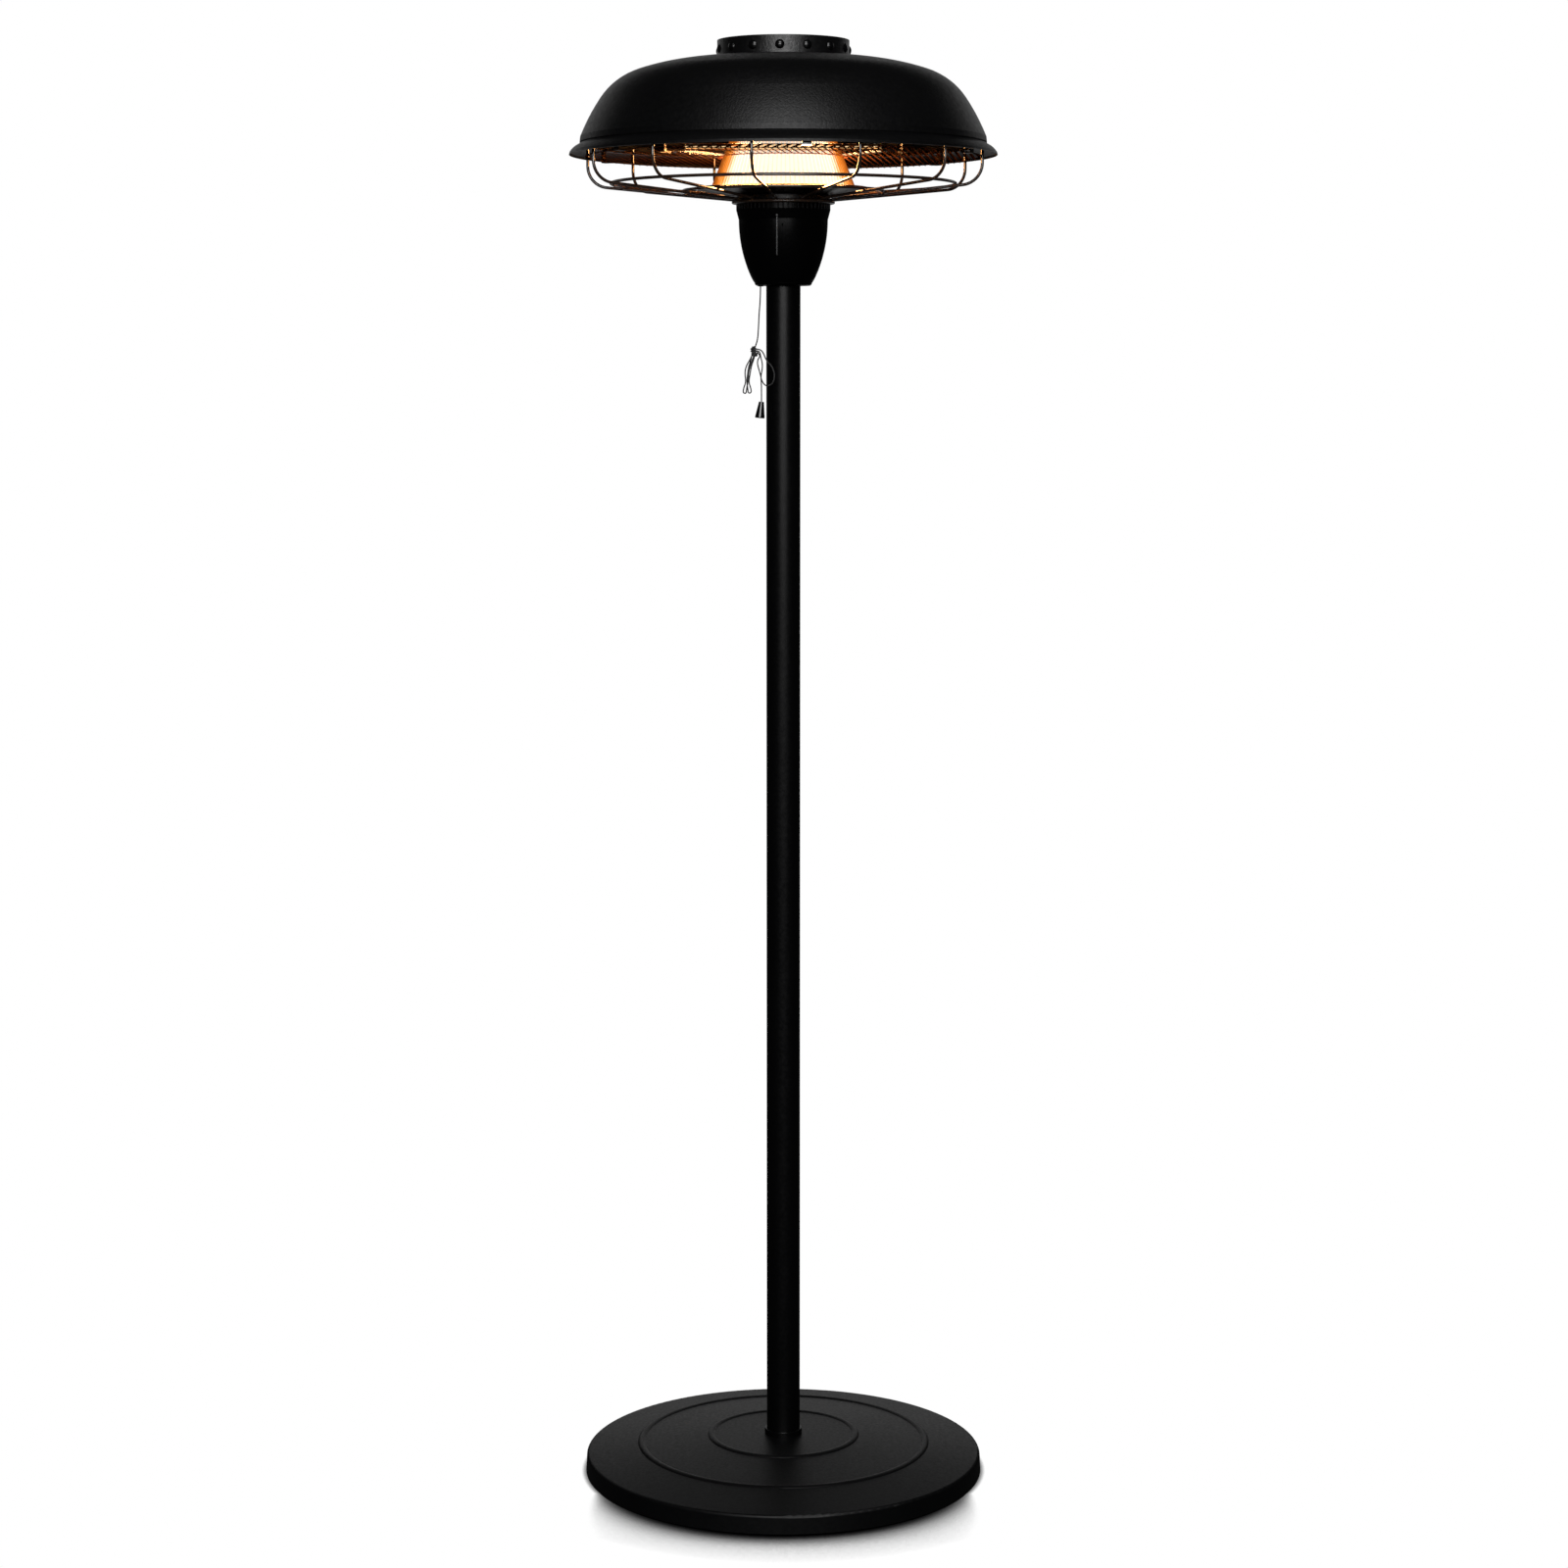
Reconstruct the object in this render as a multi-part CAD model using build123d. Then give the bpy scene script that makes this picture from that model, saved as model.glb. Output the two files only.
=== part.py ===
from build123d import *

import math
import os

# Infrared patio heater tower, millimetres, +Z up, pole axis on Z, front facing -Y, floor at z = 0.
# Angles around the pole are counted from the front, positive towards +X.

# Base
base_r = 270.0  # cover's skirt at its lower edge
base_edge_in = 1.2  # skirt's upper edge, in from base_r
base_edge_h = 22.4
shoulder_in = 4.9  # where the rounded edge meets the top
shoulder_h = 26.0
base_edge_bow = 0.89
skirt_h = 1.2  # skirt stands this far off the floor
cover_wall = 1.5
cover_top_h = 48.6  # flat seat under the pole
seat_r = 28.0
inner_ring_r = 98.5  # embossed rings
inner_ring_drop = 1.4
outer_ring_r = 194.0
outer_ring_drop = 10.4
ring_half = 5.0
ring_tilt = 0.5  # a ring's outer edge lies this much lower than its middle
ring_bow = 2.05
plate_gap = 1.2  # bottom plate inside the skirt
plate_t = 1.5
foot_h = 6.0
foot_r = 12.0
foot_in = 45.0  # feet and screws, in from base_r
foot_count = 6
base_screw_in = 70.0
base_screw_len = 11.0
ballast_gap = 0.5
ballast_in = 10.5
recess_r = 20.0  # pocket for the foot bolt
recess_depth = 14.5

# Pole
pole_r = 22.5
pole_wall = 1.5
pole_low_len = 514.4
pole_mid_len = 514.0
pole_top_len = 620.0
coupler_half = 60.0
coupler_wall = 2.5
slip = 0.05  # radial clearance of a fit
foot_collar_r = 25.4
foot_collar_h = 7.5
foot_collar_gap = 0.1
plug_h = 22.0
inlet_rise = 36.4  # cable inlet at the back of the pole, above the cover
inlet_hole_r = 7.0
inlet_lip = 3.0
inlet_flange_t = 2.5
cable_bore_r = 4.0

# Screws: shank and head radii, head heights
small_shank = 1.5
small_head = 2.6
small_head_h = 2.0
screw_shank = 2.5
screw_head = 4.5
screw_head_h = 2.4
bolt_shank = 5.0
bolt_head = 9.4
bolt_head_h = 6.4
washer_r = 16.0
washer_t = 1.6

# Hub
flange_t = 3.0
flange_r = 56.0
flange_bore = 14.0
sleeve_wall = 2.0
sleeve_h = 42.0
set_screw_drop = 32.0  # below the flange
set_screw_angles = (135.0, 240.0, 30.0)
hub_bolt_circle = 33.0
hub_nut_h = 4.0
column_r = 8.0
column_bore = 5.5
column_foot_r = 40.0
column_nut_r = 13.0
column_nut_h = 7.0
column_end = 4.5  # column beyond its top nut
pan_wall = 1.2
pan_flat_r = 68.0
pan_slope_run = 43.0
pan_slope_rise = 7.6
pan_lip = 2.0
pan_lip_run = 0.6

# Switch housing
bell_height = 98.0
bell_lip_rise = 1.0  # lip above the flange
bell_lip_r = 61.7
bell_neck_r = 58.3
bell_neck_drop = 13.0  # below the lip
bell_mid_r = 44.1
bell_mid_rise = 15.5  # above the housing's foot
bell_turn_r = 37.6
bell_turn_rise = 3.4
bell_foot_r = 34.4
bell_wall = 2.5
bell_side_bow = 3.6
bell_low_bow = 0.4
bell_foot_bow = 0.86
pole_gap = 0.5
groove_x = -8.3
groove_w = 12.4
groove_len = 55.0
groove_top = 6.0  # below the lip
groove_depth = 1.0
rib_w = 2.2
boss_circle_r = 51.0
boss_wall = 3.7
boss_h = 18.0
boss_angles = (190.0, 350.0, 70.0)
boss_screw_len = 14.0
collar_r = 61.6
collar_wall = 3.0
collar_h = 12.6
collar_flutes = 60
flute_r = 1.1
neck_r = 60.8
neck_wall = 2.2
neck_h = 5.4

# Fluted cone
cone_foot_r = 95.1
cone_len = 80.7
cone_taper = 0.405
cone_gap = 0.3
cone_wall = 1.0
cone_flutes = 48
cone_flute_depth = 1.1

# Lamps
lamp_count = 3
lamp_gap = 0.6  # end caps above the mesh
lamp_inset = 98.0  # lamp axis from the pole axis
lamp_half = 125.0
lamp_r = 4.5
lamp_wall = 1.0
filament_r = 1.2
cap_r = 5.5
cap_len = 22.0
holder_t = 1.5
holder_half = 8.0
holder_rise = 1.5  # holders' lower edge above the mesh
lead_r = 0.9
lead_hole_r = 3.0
lead_float = 20.0  # leads above the reflector's middle
lead_sag = 16.0
lead_first_run = 28.0
lead_second_run = 62.0
cutout_at = 42.0
cutout_r = 9.0
cutout_h = 6.0

# Reflector over the lamps
reflector_wall = 0.8
reflector_eye_gap = 1.5
reflector_slope_run = 52.0
reflector_rise = 25.0
reflector_rim_in = 8.7  # in from the shade's side
reflector_rim_run = 38.0
reflector_rim_drop = 37.0

# Shade: radii from its mouth inwards, heights from its top downwards
shade_side_r = 264.7
shade_wall = 1.2
shade_seat_edge = 2.0  # flat seat beyond the crown band
shade_crown_in = 46.1
shade_crown_drop = 15.2
shade_crown_bow = 4.51
shade_shoulder_in = 26.5
shade_shoulder_drop = 34.7
shade_shoulder_bow = 4.81
shade_side_drop = 49.5
shade_side_bow = 1.47
groove_lead_out = 0.7
groove_lead_drop = 7.1
groove_in = 0.8
groove_half = 1.4
skirt_out = 1.6
rim_out = 12.4
rim_drop = 10.0
rim_bow = 1.25
lip_out = 0.9
lip_drop = 3.2

# Crown
crown_r = 86.0
crown_wall = 1.5
crown_h = 24.5
crown_flange_w = 10.5
cap_skirt_h = 18.0
rivet_count = 15
rivet_turn = -3.0
rivet_head_r = 6.0
rivet_head_h = 2.8
rivet_shank = 2.0
rivet_tail_r = 3.4

# Mesh guard
mesh_rise = 43.3  # above the cone's foot
mesh_t = 0.8
mesh_cone_gap = 2.0
mesh_rim_gap = 0.4
mesh_band = 4.0
mesh_ring_count = 6
mesh_gap_count = 48
mesh_wire = 4.0
rim_over_mesh = 2.4

# Wire cage
rib_count = 12
rib_turn = -8.6
rib_wire = 2.0
hoop_wire = 2.0
rib_shade_gap = 0.8
rib_top_rise = 18.0  # above the rim
cage_drop = 37.0  # ribs' corner below the rim
rib_pan_gap = 2.7
rib_bend = 28.0
outer_hoop_in = 35.6  # in from the ribs' outer ends
middle_hoop_r = 131.0
inner_hoop_gap = 1.9
rib_overhang = 1.5
top_hoop_rise = 13.0
weld_gap = 0.05
bracket_count = 6
bracket_turn = 6.4
bracket_w = 12.0
bracket_t = 1.2
bracket_tab = 13.0
hook_gap = 0.3

# Pull switch, in its own frame turned to switch_turn, and pull cord
switch_turn = 201.17
cord_at = 31.85  # plunger and cord from the pole axis
switch_in = 26.0
switch_len = 20.0
switch_half_w = 9.0
switch_drop = 25.0  # below the flange
switch_h = 36.0
switch_wall = 1.5
switch_floor = 4.0
plunger_r = 2.5
plunger_out = 14.0  # stem below the switch
plunger_head_r = 4.9
plunger_head_t = 3.0
plunger_head_gap = 1.0
chamber_gap = 0.3
running_gap = 0.08
spring_r = 3.9
spring_wire = 0.45
spring_turn_count = 6
spring_end_gap = 0.3
rotor_r = 6.6
rotor_start = 7.25  # wheel from the cord's axis
rotor_w = 4.0
rotor_room_gap = 0.6
rotor_side_gap = 0.5
rotor_pin_r = 1.5
rotor_pin_end = 1.3
rotor_pin_room = 0.2
rotor_tooth_count = 8
bracket_web = 1.5
bracket_edge = 1.0
eyelet_bore = 1.5
eyelet_neck = 2.4
eyelet_flange = 3.6
eyelet_flange_t = 1.2

cord_r = 0.85
knot_x = -38.2
knot_y = -11.9
knot_h = 1517.4
knot_half = 7.4
knot_r = 4.9
knot_lean = 16.0
knob_x = -28.75
knob_y = -11.5
knob_top_h = 1452.0
knob_len = 21.5
knob_top_r = 3.3
knob_low_r = 6.6
knob_round = 1.2
knob_lean = 6.0
knob_bore = 1.05
cord_end_h = 1446.0

# Tip-over switch at the back, terminal block at the right
tip_in = 28.0
tip_len = 18.0
tip_half_w = 9.0
tip_drop = 25.0
tip_h = 30.0
tip_wall = 1.5
tip_pin_r = 1.2
tip_pin_drop = 5.0  # below the switch's top
tip_pin_short = 0.7  # pin's ends inside the walls' outer faces
bob_r = 3.0
bob_drop = 15.0
bob_half = 5.0
arm_half = 1.2
lug_half = 4.0
lug_in = 2.0
lug_t = 6.0
terminal_in = 28.0
terminal_len = 16.0
terminal_half_w = 10.0
terminal_drop = 35.0
terminal_h = 14.0
terminal_pitch = 6.0
terminal_screw_in = 4.0  # screws in from the block's outer face
terminal_screw_len = 8.0

# The pull cord, from the plunger through the eyelet, knot, two narrow loops and one wide loop to the knob
cord_route = [
    (-29.7, -11.5, 1622.0), (-29.7, -11.5, 1590.0), (-31.8, -11.5, 1566.0), (-32.6, -11.6, 1546.0),
    (-33.8, -11.8, 1532.0), (-37.5, -12.6, 1521.5),
    (-42.6, -14.2, 1508.5), (-48.9, -15.2, 1498.5), (-50.6, -15.3, 1488.5), (-48.9, -15.2, 1478.0),
    (-52.3, -15.1, 1469.3), (-52.8, -15.0, 1463.4), (-48.7, -15.0, 1462.8), (-48.2, -15.0, 1468.8),
    (-46.2, -15.1, 1478.5), (-45.6, -15.3, 1490.0), (-43.0, -15.6, 1500.5), (-40.0, -15.8, 1508.0),
    (-38.1, -15.4, 1514.4), (-37.1, -8.4, 1514.4), (-38.8, -8.0, 1507.0),
    (-42.0, -8.2, 1498.5), (-43.8, -9.0, 1487.5), (-45.6, -9.2, 1477.5), (-42.6, -9.3, 1469.5),
    (-42.1, -9.4, 1463.6), (-46.2, -9.4, 1463.0), (-46.7, -9.4, 1469.0), (-48.1, -9.4, 1478.5),
    (-46.9, -9.5, 1488.5), (-45.4, -9.6, 1498.5), (-41.8, -9.3, 1508.5),
    (-40.6, -8.4, 1519.5), (-33.6, -8.0, 1521.0), (-27.0, -13.5, 1518.0), (-22.3, -18.0, 1505.5),
    (-14.2, -23.5, 1497.5), (-11.0, -25.2, 1486.5), (-13.6, -24.6, 1475.5), (-22.0, -21.5, 1471.8),
    (-28.0, -18.5, 1477.8), (-30.5, -16.8, 1489.5), (-34.0, -16.0, 1500.5), (-33.6, -15.4, 1507.0),
    (-30.0, -15.0, 1511.5), (-34.2, -14.2, 1516.8), (-33.6, -10.2, 1518.6), (-30.6, -9.2, 1516.2),
    (-29.6, -9.6, 1510.0), (-27.4, -10.6, 1502.0), (-27.6, -11.2, 1494.0), (-29.6, -11.5, 1485.5),
    (-28.5, -11.5, 1472.0), (-28.75, -11.5, cord_end_h),
]

# Worked-out places: base and pole
base_edge_r = base_r - base_edge_in
shoulder_r = base_r - shoulder_in
inner_ring_h = cover_top_h - inner_ring_drop
outer_ring_h = cover_top_h - outer_ring_drop
ballast_r = base_r - ballast_in
foot_circle_r = base_r - foot_in
base_screw_r = base_r - base_screw_in
recess_h = foot_h + plate_t + recess_depth
cover_under_h = cover_top_h - cover_wall
plug_top = cover_top_h + plug_h
pole_bore = pole_r - pole_wall
seam_low = cover_top_h + pole_low_len
seam_high = seam_low + pole_mid_len
flange_h = seam_high + pole_top_len
inlet_h = cover_top_h + inlet_rise
inlet_flange_r = inlet_hole_r + inlet_lip

# Hub and switch housing
flange_top = flange_h + flange_t
sleeve_r = pole_r + slip + sleeve_wall
set_screw_h = flange_h - set_screw_drop
column_foot_top = flange_top + flange_t
bell_lip_h = flange_top + bell_lip_rise
bell_neck_h = bell_lip_h - bell_neck_drop
bell_base_h = bell_lip_h - bell_height
boss_r = small_shank + slip + boss_wall
neck_low = bell_lip_h + collar_h
pan_low = neck_low + neck_h
pan_top = pan_low + pan_wall
pan_rim_r = pan_flat_r + pan_slope_run

# Cone, mesh, lamps, reflector
pan_grade = pan_slope_rise / pan_slope_run
cone_foot_h = pan_top + pan_grade * (cone_foot_r + cone_flute_depth - pan_flat_r) + cone_gap
cone_top_h = cone_foot_h + cone_len
cone_top_r = cone_foot_r - cone_taper * cone_len
mesh_h = cone_foot_h + mesh_rise
mesh_top = mesh_h + mesh_t
mesh_in_r = cone_foot_r - cone_taper * mesh_rise + cone_flute_depth + mesh_cone_gap
lamp_h = mesh_top + lamp_gap + cap_r
eye_top = cone_top_h + reflector_wall
reflector_eye_r = cone_top_r + cone_flute_depth + reflector_eye_gap
reflector_flat_in = reflector_eye_r + reflector_slope_run
reflector_flat_h = eye_top + reflector_rise
reflector_under = reflector_flat_h - reflector_wall
reflector_rim_r = shade_side_r - reflector_rim_in
reflector_flat_out = reflector_rim_r - reflector_rim_run

# Shade and crown
shade_shoulder_r = shade_side_r - shade_shoulder_in
shade_crown_r = shade_shoulder_r - shade_crown_in
groove_in_r = shade_side_r + groove_lead_out
groove_r = groove_in_r - groove_in
skirt_in_r = groove_r + skirt_out
rim_in_r = skirt_in_r + rim_out
rim_r = rim_in_r + lip_out
rim_h = mesh_h + rim_over_mesh
rim_in_h = rim_h + lip_drop
skirt_in_h = rim_in_h + rim_drop
groove_h = skirt_in_h + groove_half
groove_in_h = groove_h + groove_half
shade_side_h = groove_in_h + groove_lead_drop
shade_shoulder_h = shade_side_h + shade_side_drop
shade_crown_h = shade_shoulder_h + shade_shoulder_drop
shade_top_h = shade_crown_h + shade_crown_drop
shade_under = shade_top_h - shade_wall
crown_top = shade_top_h + crown_h
rivet_h = shade_top_h + crown_h / 2
column_top_h = shade_top_h + column_nut_h + column_end

# Cage
mesh_out_r = groove_r - shade_wall - rib_shade_gap - 2 * rib_wire - mesh_rim_gap
rib_out_r = groove_r - shade_wall - rib_shade_gap - rib_wire
rib_corner_h = rim_h - cage_drop
inner_hoop_r = collar_r + inner_hoop_gap + hoop_wire
rib_in_r = inner_hoop_r - rib_overhang
rib_in_h = pan_low - rib_pan_gap - rib_wire
rib_slope = (rib_corner_h - rib_in_h) / (rib_out_r - rib_in_r)
outer_hoop_r = rib_out_r - outer_hoop_in
top_hoop_r = rib_out_r - 2 * rib_wire - weld_gap
top_hoop_h = rim_h + top_hoop_rise
bracket_r = rib_out_r + rib_wire
bracket_top_h = rim_h + rib_top_rise

# One lamp lead, drawn at the front: out of the column, over the reflector and down to a lamp's end cap
lead_run_r = math.hypot(lamp_inset, lamp_half + cap_len / 2)
lead_turn = math.degrees(math.atan2(lamp_half + cap_len / 2, lamp_inset))
lead_h = reflector_flat_h + lead_float
lead_route = [
    (0, -column_r / 2, lead_h), (0, -lead_first_run, lead_h - lead_sag / 4),
    (0, -lead_second_run, lead_h - lead_sag), (0, -lead_run_r * 0.62, lead_h - lead_sag * 0.75),
    (0, -lead_run_r * 0.84, lead_h - lead_sag * 0.56), (0, -lead_run_r, lead_h - lead_sag * 0.93),
    (0, -lead_run_r, lamp_h + cap_r + slip),
]

# Switches and terminal block
switch_out = switch_in + switch_len
switch_top = flange_h - switch_drop
switch_low = switch_top - switch_h
chamber_r = plunger_head_r + chamber_gap
chamber_low = switch_low + switch_floor
chamber_top = switch_top - switch_floor
plunger_low = switch_low - plunger_out
plunger_head_low = chamber_top - plunger_head_gap - plunger_head_t
rotor_h = (switch_low + switch_top) / 2
rotor_in = cord_at + rotor_start
rotor_out = rotor_in + rotor_w
rotor_room = rotor_r + rotor_room_gap
rotor_pin_in = rotor_in - rotor_pin_end
rotor_pin_out = rotor_out + rotor_pin_end + rotor_side_gap
tip_out = tip_in + tip_len
tip_top = flange_h - tip_drop
tip_low = tip_top - tip_h
tip_pin_h = tip_top - tip_pin_drop
tip_pin_end = tip_half_w - tip_pin_short
terminal_out = terminal_in + terminal_len
terminal_top = flange_h - terminal_drop
terminal_low = terminal_top - terminal_h
terminal_screw_x = terminal_out - terminal_screw_in
across = Rot(0, 0, switch_turn)


def disc(radius, low, high, bore=0.0):
    """Disc or ring about the pole axis."""
    face = Circle(radius) - Circle(bore) if bore else Circle(radius)
    return Pos(0, 0, low) * extrude(face, high - low)


def block(low, high):
    """Box between two corners."""
    size = [b - a for a, b in zip(low, high)]
    middle = [(a + b) / 2 for a, b in zip(low, high)]
    return Pos(*middle) * Box(*size)


def rod(start, end, radius):
    """Round bar between two points."""
    start, end = Vector(*start), Vector(*end)
    return extrude(Plane(origin=start, z_dir=end - start) * Circle(radius), (end - start).length)


def hexagon(radius, low, high, bore):
    """Hexagon nut about the pole axis; radius is across its corners."""
    return Pos(0, 0, low) * extrude(RegularPolygon(radius, 6) - Circle(bore), high - low)


def turned(points):
    """Solid turned about the pole axis from a straight-sided outline of (radius, height)."""
    outline = Polyline(*[(r, 0, z) for r, z in points], close=True)
    return revolve(make_face(outline), Axis.Z)


def ring_of(shape, count, turn=0.0):
    """Copies around the pole, the shape being drawn at the front."""
    return [Rot(0, 0, turn + 360.0 * i / count) * shape for i in range(count)]


def group(shapes):
    """Several separate solids that share one node."""
    return Compound(children=[solid for shape in shapes for solid in shape.solids()])


def side_of(start, end):
    """Unit vector along a chord, and the one to its left."""
    along = (end - start).normalized()
    return along, Vector(-along.Y, along.X)


def sheet_face(points, bows, wall):
    """Cross-section of a bent sheet. points are (radius, height) on its outer skin, which lies to the left
    of the way they run, with the wall on the right; bows are how far each stretch bows out, or 0."""
    skin = [Vector(r, z) for r, z in points]
    outer, inner_mid, tangents = [], [], []
    for start, end, bow in zip(skin, skin[1:], bows):
        along, left = side_of(start, end)
        middle = (start + end) / 2
        if bow:
            lean = math.degrees(2 * math.atan(2 * bow / (end - start).length))
            middle = middle + left * bow
            outer.append(ThreePointArc(start, middle, end))
            tangents.append((along.rotate(Axis.Z, lean), along.rotate(Axis.Z, -lean)))
            inner_mid.append(middle - left * wall)
        else:
            outer.append(Line(start, end))
            tangents.append((along, along))
            inner_mid.append(None)
    inner = []
    for i, point in enumerate(skin):
        before = tangents[max(i - 1, 0)][1] if i else tangents[0][0]
        after = tangents[min(i, len(tangents) - 1)][0] if i < len(tangents) else tangents[-1][1]
        left_a, left_b = Vector(-before.Y, before.X), Vector(-after.Y, after.X)
        inner.append(point - (left_a + left_b) * (wall / (1 + left_a.dot(left_b))))
    back = []
    for i, middle in enumerate(inner_mid):
        if middle is None:
            back.append(Line(inner[i], inner[i + 1]))
        else:
            back.append(ThreePointArc(inner[i], middle, inner[i + 1]))
    ends = [Line(skin[0], inner[0]), Line(skin[-1], inner[-1])]
    return make_face(Curve(children=outer + back + ends))


def bent_sheet(points, bows, wall):
    """Sheet turned about the pole axis."""
    return revolve(Plane.XZ * sheet_face(points, bows, wall), Axis.Z)


def front(angle_deg, radius, height):
    """Point at an angle from the front, at a radius and height."""
    angle = math.radians(angle_deg)
    return (radius * math.sin(angle), -radius * math.cos(angle), height)


# Base

def make_base_cover():
    points = [
        (bolt_shank + slip, cover_top_h), (seat_r, cover_top_h),
        (inner_ring_r - ring_half, inner_ring_h + ring_tilt),
        (inner_ring_r + ring_half, inner_ring_h - ring_tilt),
        (outer_ring_r - ring_half, outer_ring_h + ring_tilt),
        (outer_ring_r + ring_half, outer_ring_h - ring_tilt),
        (shoulder_r, shoulder_h), (base_edge_r, base_edge_h), (base_r, skirt_h),
    ]
    return bent_sheet(points, [0, 0, ring_bow, 0, ring_bow, 0, base_edge_bow, 0], cover_wall)


def make_base_weight():
    drop = cover_wall + ballast_gap
    edge = ballast_r
    slope = (outer_ring_h - shoulder_h) / (shoulder_r - outer_ring_r)
    bottom = foot_h + plate_t
    body = turned([
        (bolt_shank + slip, bottom), (edge, bottom), (edge, shoulder_h - drop),
        (outer_ring_r, shoulder_h - drop + slope * (edge - outer_ring_r)),
        (inner_ring_r, inner_ring_h - drop), (seat_r, cover_top_h - cover_wall - ballast_gap),
        (seat_r, cover_under_h), (bolt_shank + slip, cover_under_h),
    ])
    body -= disc(recess_r, bottom, recess_h)
    for x, y, _ in screw_places():
        body -= Pos(x, y, bottom) * extrude(Circle(screw_shank + slip), base_screw_len)
    return body


def screw_places():
    return [front(360.0 * i / foot_count, base_screw_r, foot_h) for i in range(foot_count)]


def make_bottom_plate():
    plate = disc(base_r - cover_wall - plate_gap, foot_h, foot_h + plate_t, recess_r)
    for x, y, _ in screw_places():
        plate -= Pos(x, y, foot_h) * extrude(Circle(screw_shank + slip), plate_t)
    return plate


def make_rubber_feet():
    foot = Pos(0, -foot_circle_r, 0) * extrude(Circle(foot_r), foot_h)
    foot = chamfer(foot.edges().group_by(Axis.Z)[0], 1.0)
    return group(ring_of(foot, foot_count, 180.0 / foot_count))


def make_base_screws():
    shapes = []
    for x, y, z in screw_places():
        head = Pos(x, y, z - screw_head_h) * extrude(Circle(screw_head), screw_head_h)
        shapes.append(head + Pos(x, y, z) * extrude(Circle(screw_shank), base_screw_len))
    return group(shapes)


def make_foot_washer():
    return disc(washer_r, recess_h - washer_t, recess_h, bolt_shank + slip)


def make_foot_bolt():
    head_top = recess_h - washer_t
    head = Pos(0, 0, head_top - bolt_head_h) * extrude(RegularPolygon(bolt_head, 6), bolt_head_h)
    return head + disc(bolt_shank, head_top, plug_top - 4.0)


# Pole

def make_pole_lower():
    tube = disc(pole_r, cover_top_h, seam_low, pole_bore)
    return tube - rod((0, 0, inlet_h), (0, pole_r + 5, inlet_h), inlet_hole_r)


def make_coupler(seam):
    outer = pole_bore - slip
    return disc(outer, seam - coupler_half, seam + coupler_half, outer - coupler_wall)


def make_foot_collar():
    collar = disc(foot_collar_r, cover_top_h, cover_top_h + foot_collar_h, pole_r + foot_collar_gap)
    return fillet(collar.edges().group_by(Axis.Z)[-1].sort_by(SortBy.LENGTH)[-1], 1.0)


def make_cable_grommet():
    outer_end = pole_r + inlet_flange_t
    inner_end = pole_bore - inlet_flange_t
    body = rod((0, inner_end, inlet_h), (0, outer_end, inlet_h), inlet_flange_r)
    wall = disc(pole_r + slip, inlet_h - 2 * inlet_flange_r, inlet_h + 2 * inlet_flange_r, pole_bore - slip)
    neck = rod((0, inner_end, inlet_h), (0, outer_end, inlet_h), inlet_hole_r - slip)
    body = (body - wall) + neck
    return body - rod((0, inner_end - 5, inlet_h), (0, outer_end + 5, inlet_h), cable_bore_r)


# Switch housing and hub

def bell_outline():
    points = [
        (bell_lip_r, bell_lip_h), (bell_neck_r, bell_neck_h), (bell_mid_r, bell_base_h + bell_mid_rise),
        (bell_turn_r, bell_base_h + bell_turn_rise), (bell_foot_r, bell_base_h),
        (pole_r + pole_gap, bell_base_h),
    ]
    return points, [0, bell_side_bow, bell_low_bow, bell_foot_bow, 0]


def make_bell():
    points, bows = bell_outline()
    bell = bent_sheet(points, bows, bell_wall) - disc(bell_lip_r, bell_lip_h, neck_low)
    skin = bent_sheet(points, bows, groove_depth)
    left = groove_x - groove_w / 2
    high = bell_lip_h - groove_top
    low = high - groove_len
    slot = block((left, -2 * bell_lip_r, low), (left + groove_w, 0, high))
    slot -= block((groove_x - rib_w / 2, -2 * bell_lip_r, low), (groove_x + rib_w / 2, 0, high))
    bell -= skin & slot
    for angle in boss_angles:
        x, y, z = front(angle, boss_circle_r, flange_h - boss_h)
        boss = Pos(x, y, z) * extrude(Circle(boss_r), boss_h)
        bell += boss
        bell -= Pos(x, y, z + 2) * extrude(Circle(small_shank + slip), boss_h)
    x, y, _ = cord_route[0]
    return bell - Pos(x, y, bell_base_h - 1) * extrude(Circle(eyelet_neck + slip), bell_wall + 2)


def make_bell_screws():
    shapes = []
    for angle in boss_angles:
        x, y, _ = front(angle, boss_circle_r, 0)
        head = Pos(x, y, flange_top) * extrude(Circle(small_head), small_head_h)
        shank = extrude(Circle(small_shank), boss_screw_len)
        shapes.append(head + Pos(x, y, flange_top - boss_screw_len) * shank)
    return group(shapes)


def make_collar_ring():
    outline = Circle(collar_r) - Circle(collar_r - collar_wall)
    cuts = [Rot(0, 0, 360 * i / collar_flutes) * Pos(collar_r + 0.3, 0) * Circle(flute_r)
            for i in range(collar_flutes)]
    outline -= cuts
    return Pos(0, 0, bell_lip_h) * extrude(outline, collar_h)


def make_hub_neck():
    return disc(neck_r, neck_low, pan_low, neck_r - neck_wall)


def hub_bolt_places(height):
    return [front(45.0 + 90.0 * i, hub_bolt_circle, height) for i in range(4)]


def make_pole_socket():
    socket = disc(sleeve_r, flange_h - sleeve_h, flange_h, pole_r + slip)
    socket += disc(flange_r, flange_h, flange_top, flange_bore)
    for x, y, z in hub_bolt_places(flange_h):
        socket -= Pos(x, y, z) * extrude(Circle(screw_shank + slip), flange_t)
    for angle in boss_angles:
        x, y, z = front(angle, boss_circle_r, flange_h)
        socket -= Pos(x, y, z) * extrude(Circle(small_shank + slip), flange_t)
    for angle in set_screw_angles:
        near, far = front(angle, pole_r - 1, set_screw_h), front(angle, sleeve_r + 1, set_screw_h)
        socket -= rod(near, far, screw_shank + slip)
    return socket


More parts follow.
